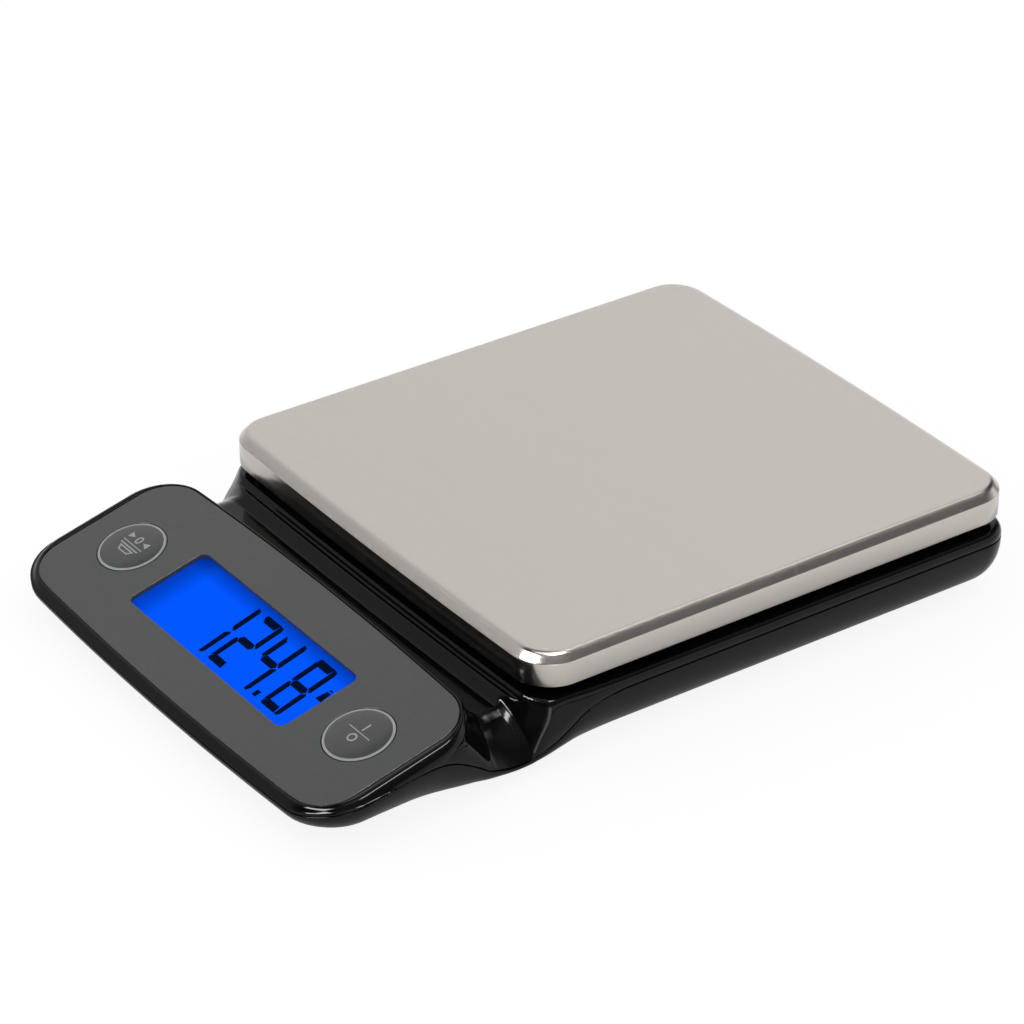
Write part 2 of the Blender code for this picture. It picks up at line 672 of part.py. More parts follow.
def make_housing_screws():
    for label, (x, y) in zip(("front", "waist", "back"), HOUSING_SCREWS):
        roof = panel_z(y) - PANEL_THICKNESS if y < -55.0 else DECK_Z - DECK_THICKNESS
        length = min(roof - 2.0 - (FLOOR_Z - 0.7), 11.0)
        for side, place in (("left", -x), ("right", x)):
            screw(f"housing_screw_{label}_{side}", (place, y, FLOOR_Z - 0.7), 2.6, 1.15, 1.0, length,
                  up=True)


def make_stop_screws():
    """Screws in the deck's corners, which stop an overloaded platform."""
    for label, (x, y) in zip(("front", "back"), STOP_SCREWS):
        for side, place in (("left", -x), ("right", x)):
            screw(f"stop_screw_{label}_{side}", (place, y, DECK_Z + GAP), 3.0, 1.3, 3.0, 4.0)


# --- Load cell -------------------------------------------------------------------------------------

def make_load_cell():
    y0 = PLATFORM_CENTRE_Y - CELL_LENGTH / 2
    y1 = PLATFORM_CENTRE_Y + CELL_LENGTH / 2
    half = CELL_WIDTH / 2
    beam = box("load_cell", (-half, y0, CELL_BOTTOM_Z), (half, y1, CELL_TOP_Z), ALUMINIUM)
    middle = (CELL_BOTTOM_Z + CELL_TOP_Z) / 2
    holes = [(PLATFORM_CENTRE_Y + side * CELL_HOLE_SPREAD, middle) for side in (-1, 1)]
    ends = [(0.0, PLATFORM_CENTRE_Y + side * offset)
            for side in (-1, 1) for offset in CELL_SCREW_OFFSETS]
    cut(
        beam,
        cylinders("cell_windows", holes, CELL_HOLE_RADIUS, -10.0, 10.0, None, axis="X"),
        box("cell_slot", (-10.0, holes[0][0], middle - 0.6), (10.0, holes[1][0], middle + 0.6), None),
        cylinders("cell_threads", ends, 2.3, 0.0, 20.0, None),
    )
    lower_top = CELL_BOTTOM_Z - GAP
    upper_low = CELL_TOP_Z + PLATFORM_TRAVEL_GAP
    lower = box("lower_spacer", (-6.3, y0, lower_top - SPACER_THICKNESS),
                (6.3, y0 + 17.4, lower_top), ALUMINIUM)
    upper = box("upper_spacer", (-6.3, y1 - 17.4, upper_low),
                (6.3, y1, upper_low + SPACER_THICKNESS), ALUMINIUM)
    cut(lower, cylinders("lower_spacer_bores", ends[:2], 2.3, 0.0, 20.0, None))
    cut(upper, cylinders("upper_spacer_bores", ends[2:], 2.3, 0.0, 20.0, None))
    box("strain_gauge_cover", (-5.6, PLATFORM_CENTRE_Y - 14.0, lower_top - 1.2),
        (5.6, PLATFORM_CENTRE_Y + 14.0, lower_top), SILICONE)
    for index, (x, y) in enumerate(ends[:2]):
        screw(f"cell_screw_lower_{index + 1}", (x, y, FLOOR_Z - GAP), 3.7, 1.95, 1.5, 9.5, up=True)
    uppers = []
    head_z = CARRIER_TOP_Z - CARRIER_THICKNESS - 1.0
    for index, (x, y) in enumerate(ends[2:]):
        uppers.append(screw(f"cell_screw_upper_{index + 1}", (x, y, head_z + GAP), 3.7, 1.95, 1.5, 14.0))
    return [upper] + uppers


# --- Platform ---------------------------------------------------------------------------------------

def platform_ring(inset, z):
    outline = rounded_outline(
        PLATFORM_HALF_WIDTH - inset, PLATFORM_CENTRE_Y - PLATFORM_HALF_DEPTH + inset,
        PLATFORM_CENTRE_Y + PLATFORM_HALF_DEPTH - inset, (PLATFORM_RADIUS - inset, PLATFORM_RADIUS - inset),
        (PLATFORM_BOW, PLATFORM_BOW), arc_steps=7)
    return [(x, y, z) for x, y in outline]


def make_platform():
    inner_top = PLATFORM_TOP_Z - STEEL_THICKNESS
    steel = ring_loft("steel_platform", [
        platform_ring(STEEL_THICKNESS, SKIRT_BOTTOM_Z), platform_ring(0.0, SKIRT_BOTTOM_Z),
        platform_ring(0.0, CREASE_Z), platform_ring(CHAMFER_WIDTH, PLATFORM_TOP_Z)], STEEL)
    cut(steel, ring_loft("steel_space", [
        platform_ring(STEEL_THICKNESS, SKIRT_BOTTOM_Z - 3.0),
        platform_ring(STEEL_THICKNESS, CREASE_Z - 0.2),
        platform_ring(CHAMFER_WIDTH + 0.4, inner_top)], None))
    plate_low = CARRIER_TOP_Z - CARRIER_THICKNESS
    carrier = ring_loft("platform_carrier", [
        platform_ring(CARRIER_INSET, CARRIER_RIB_Z),
        platform_ring(CARRIER_INSET, CARRIER_TOP_Z)], BLACK_MATTE)
    free_y = PLATFORM_CENTRE_Y + sum(CELL_SCREW_OFFSETS) / 2
    boss_low = CELL_TOP_Z + PLATFORM_TRAVEL_GAP + SPACER_THICKNESS + GAP
    ends = [(0.0, PLATFORM_CENTRE_Y + offset) for offset in CELL_SCREW_OFFSETS]
    cut(carrier, ring_loft("carrier_space", [
        platform_ring(CARRIER_INSET + 1.6, CARRIER_RIB_Z - 3.0),
        platform_ring(CARRIER_INSET + 1.6, plate_low)], None))
    join(
        carrier,
        box("carrier_boss", (-BOSS_WIDTH / 2, free_y - BOSS_LENGTH / 2, boss_low),
            (BOSS_WIDTH / 2, free_y + BOSS_LENGTH / 2, plate_low + 0.5), None),
        box("carrier_rib_x", (-62.0, PLATFORM_CENTRE_Y - 0.8, CARRIER_RIB_Z + 0.5),
            (62.0, PLATFORM_CENTRE_Y + 0.8, plate_low + 0.5), None),
        box("carrier_rib_left", (-30.8, PLATFORM_CENTRE_Y - 66.0, CARRIER_RIB_Z + 0.5),
            (-29.2, PLATFORM_CENTRE_Y + 66.0, plate_low + 0.5), None),
        box("carrier_rib_right", (29.2, PLATFORM_CENTRE_Y - 66.0, CARRIER_RIB_Z + 0.5),
            (30.8, PLATFORM_CENTRE_Y + 66.0, plate_low + 0.5), None),
    )
    cut(
        carrier,
        cylinders("carrier_bores", ends, 2.3, 10.0, 40.0, None),
        cylinders("carrier_recesses", ends, 4.2, plate_low - 1.0, 40.0, None),
    )
    tapes = []
    tape_low = CARRIER_TOP_Z + GAP
    for label, x in (("left", -45.0), ("right", 45.0)):
        tapes.append(box(f"platform_tape_{label}", (x - 8.0, PLATFORM_CENTRE_Y - 55.0, tape_low),
                         (x + 8.0, PLATFORM_CENTRE_Y + 55.0, tape_low + TAPE_THICKNESS), TAPE))
    return [steel, carrier] + tapes


# --- Batteries, contacts, door and wires ---------------------------------------------------------------

def make_battery(name, x, y_flat, forward):
    """A cell lying along Y with its flat end at y_flat and its nub forward (+1) or back (-1)."""
    profile = (
        (0.0, BATTERY_LENGTH), (1.9, BATTERY_LENGTH), (1.9, BATTERY_LENGTH - 0.9),
        (CELL_RADIUS - 0.4, BATTERY_LENGTH - 0.9), (CELL_RADIUS, BATTERY_LENGTH - 1.4),
        (CELL_RADIUS, 0.4), (CELL_RADIUS - 0.5, 0.0), (0.0, 0.0))
    turn = Matrix.Rotation(math.radians(-90 * forward), 4, "X")
    return turned(name, profile, (x, y_flat, BATTERY_Z), BATTERY_WRAP, 24, None, turn)


def make_spring(name, x, y0, y1):
    turns, steps = 3, 8
    points = []
    for index in range(turns * steps + 1):
        share = index / (turns * steps)
        angle = 2.0 * math.pi * turns * share
        radius = mix(3.3, 2.0, share)
        across, rise = radius * math.cos(angle), radius * math.sin(angle)
        points.append((x + across, mix(y0, y1, share), BATTERY_Z + rise))
    return tube(name, points, 0.3, NICKEL)


def make_power():
    front, back = BAY_LOW.y + GAP, BAY_HIGH.y - GAP
    flat_low = front + 0.4 + GAP + 4.1
    make_battery("battery_1", BATTERY_X[0], flat_low, 1)
    make_battery("battery_2", BATTERY_X[1], back - 0.4 - GAP - 4.1, -1)
    make_spring("battery_spring_1", BATTERY_X[0], front + 0.4 + 0.6, flat_low - 0.6)
    make_spring("battery_spring_2", BATTERY_X[1], back - 0.4 - 0.6, back - 0.4 - GAP - 3.5)
    low, high = BATTERY_Z - 4.3, BATTERY_Z + 4.3
    for name, x in zip(("negative_contact", "positive_contact"), BATTERY_X):
        box(name, (x - 4.3, front, low), (x + 4.3, front + 0.4, high), NICKEL)
    box("bridge_contact", (BATTERY_X[0] - 4.3, back - 0.4, low), (BATTERY_X[1] + 4.3, back, high), NICKEL)


def make_door():
    low = (BAY_LOW.x + GAP, BAY_LOW.y + GAP, BASE_BOTTOM_Z)
    high = (BAY_HIGH.x - GAP, BAY_HIGH.y - GAP, BASE_BOTTOM_Z + DOOR_THICKNESS)
    door = box("battery_door", low, high, BLACK_GLOSS)
    tab_y = (BAY_HIGH.y - 3.0, BAY_HIGH.y + 1.0)
    for label, x in (("left", 26.0), ("right", 34.4)):
        join(door, box(f"door_tab_{label}", (x, tab_y[0], BASE_BOTTOM_Z + 0.8),
                       (x + 3.0, tab_y[1], BASE_BOTTOM_Z + 1.9), None))
    join(door, box("door_latch", (28.2, BAY_LOW.y + 0.4, BASE_BOTTOM_Z + 0.8),
                   (35.2, BAY_LOW.y + 1.6, BASE_BOTTOM_Z + 2.8), None))
    carry(body_empty("battery_door_axis", (0.0, BAY_HIGH.y, BASE_BOTTOM_Z)), door)


def make_wires():
    entry = (PANEL_FRAME @ (Vector((0.0, 19.0, -BOARD_TOP - 0.5)) * MM)) / MM
    y_end, z_end = entry.y, entry.z
    wire("battery_wire_negative", (
        (BATTERY_X[0], 5.2, 7.3), (BATTERY_X[0], 0.0, 7.0), (21.0, -14.0, 5.4), (14.0, -34.0, 5.2),
        (12.0, -50.0, 6.2), (12.0, y_end, z_end)), 0.65, WIRE_BLACK)
    wire("battery_wire_positive", (
        (BATTERY_X[1], 5.2, 7.3), (BATTERY_X[1], -1.0, 7.0), (27.0, -16.0, 5.4), (18.0, -34.0, 5.2),
        (16.0, -50.0, 6.2), (16.0, y_end, z_end)), 0.65, WIRE_RED)
    cable_y = PLATFORM_CENTRE_Y - 13.0
    wire("load_cell_cable", (
        (-6.4, cable_y, 5.6), (-9.5, cable_y - 3.0, 5.2), (-11.5, 0.0, 5.0), (-11.0, -18.0, 5.0),
        (-6.0, -36.0, 5.2), (-4.0, -50.0, 6.2), (-4.0, y_end, z_end)), 1.0, CABLE_GREY)


def make_feet():
    for label, (x, y) in zip(("front", "back"), FEET):
        for side, place in (("left", -x), ("right", x)):
            top = BASE_BOTTOM_Z + FOOT_RECESS - GAP
            turned(f"foot_{label}_{side}", (
                (0.0, top), (FOOT_RADIUS, top), (FOOT_RADIUS, 0.4), (FOOT_RADIUS - 0.4, 0.0), (0.0, 0.0)),
                (place, y, 0.0), RUBBER, 20)


make_bottom_housing()
make_top_housing()
make_display()
make_button(-1, "tare")
make_button(1, "power")
make_housing_screws()
make_stop_screws()
on_platform = make_load_cell() + make_platform()
carry(body_empty("platform_axis", (0.0, PLATFORM_CENTRE_Y, SKIRT_BOTTOM_Z)), *on_platform)
make_power()
make_door()
make_wires()
make_feet()
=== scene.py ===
"""The kitchen scale's looks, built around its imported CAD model.

Lengths are millimetres, and MM turns them into metres.
"""

import json
import math

import bmesh
import bpy
from mathutils import Matrix, Vector


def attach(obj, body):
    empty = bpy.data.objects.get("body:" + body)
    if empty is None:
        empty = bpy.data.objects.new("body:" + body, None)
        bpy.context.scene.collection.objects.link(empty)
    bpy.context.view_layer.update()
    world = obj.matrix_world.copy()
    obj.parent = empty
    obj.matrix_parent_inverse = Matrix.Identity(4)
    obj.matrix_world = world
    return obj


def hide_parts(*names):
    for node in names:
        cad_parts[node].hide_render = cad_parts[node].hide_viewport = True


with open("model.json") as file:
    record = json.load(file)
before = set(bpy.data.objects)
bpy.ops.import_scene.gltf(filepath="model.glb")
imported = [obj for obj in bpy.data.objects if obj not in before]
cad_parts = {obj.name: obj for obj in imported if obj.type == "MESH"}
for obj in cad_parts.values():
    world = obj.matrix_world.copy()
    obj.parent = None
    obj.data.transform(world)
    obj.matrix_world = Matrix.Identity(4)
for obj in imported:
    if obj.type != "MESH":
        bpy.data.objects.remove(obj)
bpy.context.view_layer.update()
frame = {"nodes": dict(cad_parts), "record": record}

MM = 0.001

# Base
PANEL_HALF_WIDTH = 69.4
DECK_HALF_WIDTH = 68.2
BASE_FRONT_Y = -102.6
BASE_BACK_Y = 102.6
FRONT_RADIUS = 14.0
BACK_RADIUS = 8.8
FRONT_BOW = 1.9
BACK_BOW = 1.0
BOTTOM_Z = 1.4
SIDE_INSET = 10.5
SIDE_POWER = 2.3
FRONT_POWER = 1.8
SEAM_HALF_GAP = 0.13
DECK_Z = 17.4
DECK_FRONT_Y = -40.8
DECK_CORNER_RADIUS = 9.0
DECK_CUT_Y = -71.0      # the deck's mesh ends here, inside the panel block
PANEL_BACK_Y = -53.1
BACK_SQUEEZE = 0.6      # how fast the panel block's back edge moves in, for each step in of its sides
# The panel block's rounded rim, as (inset, drop below the panel's plane)
RIM_PROFILE = (
    (0.0, 2.2), (0.03, 2.0), (0.14, 1.7), (0.4, 1.3), (0.75, 0.86), (1.05, 0.5), (1.2, 0.35), (1.36, 0.22),
    (1.54, 0.12), (1.74, 0.05), (1.95, 0.01), (2.2, 0.0),
)
SEAT_DEPTH = 1.4        # how deep the fascia's seat is

# Panel
PANEL_TILT = math.radians(14.3)
PANEL_CENTRE = Vector((0.0, -77.7, 15.06))
PANEL_FRAME = Matrix.Translation(PANEL_CENTRE * MM) @ Matrix.Rotation(PANEL_TILT, 4, "X")
FASCIA_HALF_WIDTH = 65.9
FASCIA_HALF_DEPTH = 23.75
FASCIA_RADIUS = 10.5
FASCIA_THICKNESS = 1.2
WINDOW_HALF_WIDTH = 33.9
WINDOW_HALF_DEPTH = 11.25
DISPLAY_LOW = -2.9
DISPLAY_HIGH = -1.3
BUTTON_X = 50.0
BUTTON_RADIUS = 8.65
BUTTON_CROWN = 0.5
RING_RADII = (7.98, 8.6)

# Platform
PLATFORM_CENTRE_Y = 30.6
PLATFORM_HALF_WIDTH = 67.5
PLATFORM_HALF_DEPTH = 71.9
PLATFORM_RADIUS = 10.1
PLATFORM_BOW = 1.1
SKIRT_BOTTOM_Z = 20.5
CREASE_Z = 26.6
PLATFORM_TOP_Z = 28.7
CHAMFER_WIDTH = 1.95
STEEL_THICKNESS = 0.6
CREASE_RADIUS = 0.5
BROW_RADIUS = 2.2


def mix(first, second, share):
    return first + (second - first) * share


def smoothstep(value):
    value = min(max(value, 0.0), 1.0)
    return value * value * (3.0 - 2.0 * value)


def smooth_min(first, second, blend):
    share = min(max(0.5 + 0.5 * (second - first) / blend, 0.0), 1.0)
    return mix(second, first, share) - blend * share * (1.0 - share)


def along(table, at):
    """A smooth curve through (place, value) pairs, by cubic steps with matched slopes."""
    if at <= table[0][0]:
        return table[0][1]
    if at >= table[-1][0]:
        return table[-1][1]
    slopes = [(b[1] - a[1]) / (b[0] - a[0]) for a, b in zip(table, table[1:])]
    for i, ((x0, y0), (x1, y1)) in enumerate(zip(table, table[1:])):
        if at <= x1:
            here = slopes[i]
            before = slopes[i - 1] if i > 0 else 0.0
            after = slopes[i + 1] if i + 1 < len(slopes) else 0.0
            start = 2 * before * here / (before + here) if before * here > 0 else 0.0
            end = 2 * here * after / (here + after) if here * after > 0 else 0.0
            width = x1 - x0
            t = (at - x0) / width
            return ((2 * t ** 3 - 3 * t ** 2 + 1) * y0 + (t ** 3 - 2 * t ** 2 + t) * width * start
                    + (3 * t ** 2 - 2 * t ** 3) * y1 + (t ** 3 - t ** 2) * width * end)


# --- Objects -----------------------------------------------------------------------------------

def add_mesh(name, bm, look, sharp=40.0, place=None):
    bmesh.ops.remove_doubles(bm, verts=bm.verts, dist=1e-7)
    bmesh.ops.recalc_face_normals(bm, faces=bm.faces)
    mesh = bpy.data.meshes.new(name)
    bm.to_mesh(mesh)
    bm.free()
    mesh.materials.append(look)
    mesh.shade_smooth()
    mesh.set_sharp_from_angle(angle=math.radians(sharp))
    obj = bpy.data.objects.new(name, mesh)
    bpy.context.scene.collection.objects.link(obj)
    if place is not None:
        obj.matrix_world = place
    return obj


def loft(rings, cap_first=True, cap_last=True):
    """Faces between closed rings of points, and over the first and last ring."""
    bm = bmesh.new()
    rows = [[bm.verts.new(Vector(point) * MM) for point in ring] for ring in rings]
    for lower, upper in zip(rows, rows[1:]):
        for i in range(len(lower)):
            j = (i + 1) % len(lower)
            bm.faces.new((lower[i], lower[j], upper[j], upper[i]))
    if cap_first:
        bm.faces.new(rows[0][::-1])
    if cap_last:
        bm.faces.new(rows[-1])
    return bm


def seat(obj, body, nodes=()):
    """The piece rides on a body and stands for the CAD nodes, which it hides."""
    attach(obj, body)
    if nodes:
        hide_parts(*nodes)
    return obj


# --- Outlines ----------------------------------------------------------------------------------

def outline_of(half_x, front, back, radii, bows, arcs=12, edge=40, sides=(), crowd=0.0):
    """Rounded rectangle from the middle of the front right corner, counter-clockwise.

    The points along the front and back edges crowd towards the corners as crowd nears 1.
    """
    r_front, r_back = radii
    corners = (
        (half_x - r_front, front + r_front, r_front, -90),
        (half_x - r_back, back - r_back, r_back, 0),
        (-half_x + r_back, back - r_back, r_back, 90),
        (-half_x + r_front, front + r_front, r_front, 180),
    )
    points = []
    for index, (x, y, radius, start) in enumerate(corners):
        for step in range(arcs + 1):
            angle = math.radians(start + 90 * step / arcs)
            points.append((x + radius * math.cos(angle), y + radius * math.sin(angle)))
        next_x = corners[(index + 1) % 4][0]
        if index == 0:
            points.extend((half_x, s) for s in sides)
        elif index == 2:
            points.extend((-half_x, s) for s in reversed(sides))
        else:
            last_y = points[-1][1]
            for step in range(1, edge):
                share = step / edge
                share -= crowd * math.sin(2 * math.pi * share) / (2 * math.pi)
                points.append((mix(x, next_x, share), last_y))
    middle = (front + back) / 2
    shaped = []
    for x, y in points:
        share = (y - middle) / (back - middle)
        bow = bows[1] if share > 0 else bows[0]
        shaped.append((x, y - bow * (x / half_x) ** 2 * share))
    start = arcs // 2
    return shaped[start:] + shaped[:start]


def stations(low, high, gap, *finer):
    """Evenly spaced places between low and high, closer together inside each finer (from, to, gap)."""
    places = []
    y = low
    while y < high - 1e-6:
        places.append(y)
        y += next((step for start, end, step in finer if start <= y < end), gap)
    return places[1:]


def half_width(y):
    """Half the base's width, which grows from the deck to the panel."""
    return mix(DECK_HALF_WIDTH, PANEL_HALF_WIDTH, smoothstep((-46.0 - y) / 20.0))


# The seam between the base's halves, as (y, z)
SEAM = (
    (-110.0, 6.2), (-103.4, 6.7), (-98.6, 8.4), (-93.6, 9.6), (-84.6, 11.3), (-78.6, 12.3),
    (-73.6, 13.1), (-68.6, 13.4), (-64.6, 12.6), (-61.1, 10.8), (-57.6, 8.6), (-54.1, 6.2),
    (-51.1, 5.2), (-48.6, 4.6), (-45.9, 4.35), (-43.1, 4.5), (-40.1, 5.2), (-37.1, 6.2),
    (-34.6, 7.4), (-31.6, 9.2), (-29.1, 10.9), (-26.6, 12.2), (-23.6, 13.1), (-20.6, 13.8),
    (-14.6, 14.3), (110.0, 14.35),
)


def seam_z(y):
    return along(SEAM, y)


ARC_STEPS = 12
EDGE_STEPS = 56
CROWDING = 0.7
SIDE_STATIONS = stations(BASE_FRONT_Y + FRONT_RADIUS, BASE_BACK_Y - BACK_RADIUS, 4.0,
                         (-45.0, -39.5, 0.2), (-62.0, -28.0, 0.45), (-82.0, -14.0, 1.0))


def base_points(inset):
    """The base's outline moved in by inset, as (x, y)."""
    radii = (max(FRONT_RADIUS - inset, 2.0), max(BACK_RADIUS - 0.62 * inset, 2.0))
    ring = outline_of(PANEL_HALF_WIDTH - inset, BASE_FRONT_Y + inset, BASE_BACK_Y - inset, radii,
                      (FRONT_BOW, BACK_BOW), arcs=ARC_STEPS, edge=EDGE_STEPS, sides=SIDE_STATIONS,
                      crowd=CROWDING)
    return [(x * (half_width(y) - inset) / (PANEL_HALF_WIDTH - inset), y) for x, y in ring]


BASE_EDGE = base_points(0.0)


def base_ring(inset, height):
    """A ring of the base at an inset, where height(z of the seam beside it) gives its z."""
    return [(x, y, height(seam_z(edge_y))) for (x, y), (_, edge_y) in zip(base_points(inset), BASE_EDGE)]


# --- Bottom half --------------------------------------------------------------------------------

BELOW_Z = -1.0          # a cut starts here, under the whole object
FLOOR_Z = 3.4
INNER_SHARE = (0.985, 0.99)
HOUSING_SCREWS = ((45.0, -94.5), (52.0, -57.5), (52.0, 92.0))
HOUSING_RECESS_RADIUS = 3.2
CELL_SCREWS = (6.6, -2.4)
CELL_RECESS_RADIUS = 4.2
FEET = ((49.0, -84.0), (49.0, 80.0))
FOOT_RADIUS = 5.3
FOOT_RECESS = 0.6
BAY_WALLS = ((18.2, 4.6, 1.9), (45.2, 58.4, 14.6))
# The battery bay, the slots for the door's tabs, the finger scoop and the notch for the wires
BAY_CUTS = (
    ((19.4, 5.8, BELOW_Z), (44.0, 57.2, 14.1)),
    ((24.0, 56.0, 1.0), (39.4, 59.4, 4.6)),
    ((27.0, 2.4, BELOW_Z), (36.4, 6.0, 2.4)),
    ((22.0, 4.0, 6.0), (41.0, 6.5, 8.6)),
)
# The bottom half's lip at the seam, as (inset, drop below the seam)
BOTTOM_LIP = ((2.0, 0.0), (0.3, 0.0), (0.12, 0.04), (0.03, 0.14), (0.0, 0.3))
UNDERSIDE_STEPS = 16


def curved_ring(angle, power):
    """A ring of the curved underside, from the seam's edge at angle 0 to the flat at a quarter turn."""
    inset = SIDE_INSET * (1.0 - max(math.cos(angle), 0.0) ** (2 / power))
    sink = math.sin(angle) ** (2 / power)
    return base_ring(inset, lambda z: mix(z - SEAM_HALF_GAP - 0.3, BOTTOM_Z, sink))


def bottom_rings():
    """Rings down from the seam to the flat underside. The front has a gentler curve than the sides."""
    rings = []
    for inset, drop in BOTTOM_LIP:
        rings.append(base_ring(inset, lambda z, d=drop: z - SEAM_HALF_GAP - d))
    for step in range(1, UNDERSIDE_STEPS + 1):
        angle = math.radians(90 * step / UNDERSIDE_STEPS)
        back, front = curved_ring(angle, SIDE_POWER), curved_ring(angle, FRONT_POWER)
        ring = []
        for behind, ahead, (_, edge_y) in zip(back, front, BASE_EDGE):
            share = smoothstep((-58.0 - edge_y) / 16.0)
            ring.append(tuple(mix(a, b, share) for a, b in zip(behind, ahead)))
        rings.append(ring)
    return rings


def block(low, high):
    """A box between two corners, for cutting and joining."""
    (x0, y0, z0), (x1, y1, z1) = low, high
    corners = ((x0, y0), (x1, y0), (x1, y1), (x0, y1))
    return loft([[(x, y, z) for x, y in corners] for z in (z0, z1)])


def bore(x, y, radius, roof, count=48):
    """A round hole from under the object up to a roof, for cutting."""
    turns = [math.tau * step / count for step in range(count)]
    return loft([[(x + radius * math.cos(t), y + radius * math.sin(t), z) for t in turns]
                 for z in (BELOW_Z, roof)])


def carve(obj, tools):
    """Joins tools to the piece or cuts them out of it, and leaves only the piece."""
    helpers = []
    for operation, bm in tools:
        helper = add_mesh("helper", bm, obj.data.materials[0])
        helpers.append(helper)
        step = obj.modifiers.new(operation.lower(), "BOOLEAN")
        step.operation, step.solver, step.object = operation, "EXACT", helper
    bpy.context.view_layer.update()
    shape = bpy.data.meshes.new_from_object(obj.evaluated_get(bpy.context.evaluated_depsgraph_get()))
    obj.modifiers.clear()
    obj.data = shape
    shape.shade_smooth()
    shape.set_sharp_from_angle(angle=math.radians(40))
    for helper in helpers:
        mesh = helper.data
        bpy.data.objects.remove(helper)
        bpy.data.meshes.remove(mesh)


def make_bottom(look):
    rings = bottom_rings()
    inner = [[(x * INNER_SHARE[0], y * INNER_SHARE[1], max(z, FLOOR_Z)) for x, y, z in ring]
             for ring in rings[::5]]
    obj = add_mesh("base_bottom", loft(inner[::-1] + rings), look)
    cuts = [block(low, high) for low, high in BAY_CUTS]
    for side in (-1, 1):
        cuts += [bore(side * x, y, HOUSING_RECESS_RADIUS, FLOOR_Z - 0.4) for x, y in HOUSING_SCREWS]
        cuts += [bore(side * x, y, FOOT_RADIUS, BOTTOM_Z + FOOT_RECESS) for x, y in FEET]
    cuts += [bore(0.0, y, CELL_RECESS_RADIUS, FLOOR_Z - 0.2) for y in CELL_SCREWS]
    carve(obj, [("UNION", block(*BAY_WALLS))] + [("DIFFERENCE", cut) for cut in cuts])
    return seat(obj, "base", ["bottom_housing"])


# --- Top half: deck and neck --------------------------------------------------------------------

# The deck's front edge, the ridge and the valley, as (distance in front of the deck, z)
NECK = (
    (-6.0, 17.4), (-0.6, 17.4), (-0.3, 17.36), (0.0, 17.18), (0.25, 16.85), (0.45, 16.5),
    (0.6, 16.2), (0.7, 15.95), (0.8, 15.9), (1.65, 15.87), (1.9, 15.7), (2.3, 15.3),
    (2.8, 14.8), (3.3, 14.3), (3.8, 13.82), (4.1, 13.6), (4.35, 13.5), (8.0, 13.42), (30.0, 13.4),
)
# The same at the neck's two ends, where it slopes away to the sides
NECK_END = (
    (-6.0, 17.4), (-1.2, 17.4), (-0.6, 17.3), (-0.1, 16.9), (0.4, 15.9), (0.9, 14.4), (1.5, 12.8),
    (2.3, 11.3), (3.4, 10.1), (5.0, 9.4), (8.0, 9.0), (30.0, 9.0),
)


def deck_distance(x, y):
    """How far (x, y) is in front of the deck's front edge, negative behind it."""
    y_edge = DECK_FRONT_Y + 0.9 * (x / PLATFORM_HALF_WIDTH) ** 2
    across = abs(x) - (DECK_HALF_WIDTH - DECK_CORNER_RADIUS)
    ahead = (y_edge + DECK_CORNER_RADIUS) - y
    if across <= 0.0:
        return ahead - DECK_CORNER_RADIUS
    if ahead <= 0.0:
        return across - DECK_CORNER_RADIUS
    return math.hypot(across, ahead) - DECK_CORNER_RADIUS


def block_distance(x, y):
    """How far (x, y) is outside the panel block's outline."""
    across = abs(x) - (PANEL_HALF_WIDTH - FRONT_RADIUS)
    ahead = y - (PANEL_BACK_Y - FRONT_BOW * (x / PANEL_HALF_WIDTH) ** 2 - FRONT_RADIUS)
    if across <= 0.0:
        return ahead - FRONT_RADIUS
    if ahead <= 0.0:
        return across - FRONT_RADIUS
    return math.hypot(across, ahead) - FRONT_RADIUS


def top_z(x, y):
    """Height of the deck, the ridge, the valley and the fillet up the panel block, away from the sides."""
    front = deck_distance(x, y)
    end = along(NECK_END, front)
    if front > 5.0:
        end = max(end, seam_z(y) + 4.6)
    floor = mix(along(NECK, front), end, smoothstep((abs(x) - 58.0) / 10.0))
    away = block_distance(x, y)
    radius = mix(1.2, 5.0, smoothstep((abs(x) - 46.0) / 12.0))
    share = 1.0 - min(max(away / radius, 0.0), 1.0)
    return floor + radius * (1.0 - math.sqrt(1.0 - share * share)) - min(4.0 * max(-0.3 - away, 0.0), 8.0)


def side_z(depth, y, z_seam):
    """Height over the seam at a depth in from the outline: a shoulder, or a slope at the neck."""
    reach = min(depth / 2.6, 1.0)
    shoulder = (DECK_Z + 0.4 - z_seam) * math.sqrt(max(1.0 - (1.0 - reach) ** 2, 0.0))
    shoulder += max(depth - 2.0, 0.0) ** 2 * 0.4
    slope = 6.9 * (1.0 - (1.0 - min(depth / 8.0, 1.0)) ** 1.6) + 0.25 * max(depth - 6.0, 0.0) ** 1.5
    if y > -45.0:
        share = smoothstep((-36.0 - y) / 7.0)
    else:
        share = smoothstep((y + 64.0) / 12.0)
    return mix(shoulder, slope, share)


def neck_height(x, y, depth, z_seam):
    """Height of the top half at (x, y), kept under the panel block's own surface."""
    side = z_seam + side_z(depth, y, z_seam)
    blend = mix(1.1, 2.2, smoothstep((-30.0 - y) / 8.0))
    height = smooth_min(top_z(x, y), side, blend)
    away = block_distance(x, y)
    if away < 0.0:
        height = min(height, panel_plane_z(y) - along(RIM_PROFILE, -away) - 0.5)
    return height


# How far in from the outline the deck's rings lie
DEPTHS = (0.12, 0.3, 0.55, 0.85, 1.2, 1.6, 2.0, 2.4, 2.8, 3.3, 4.0, 4.8, 5.6, 6.5, 7.5, 8.6)


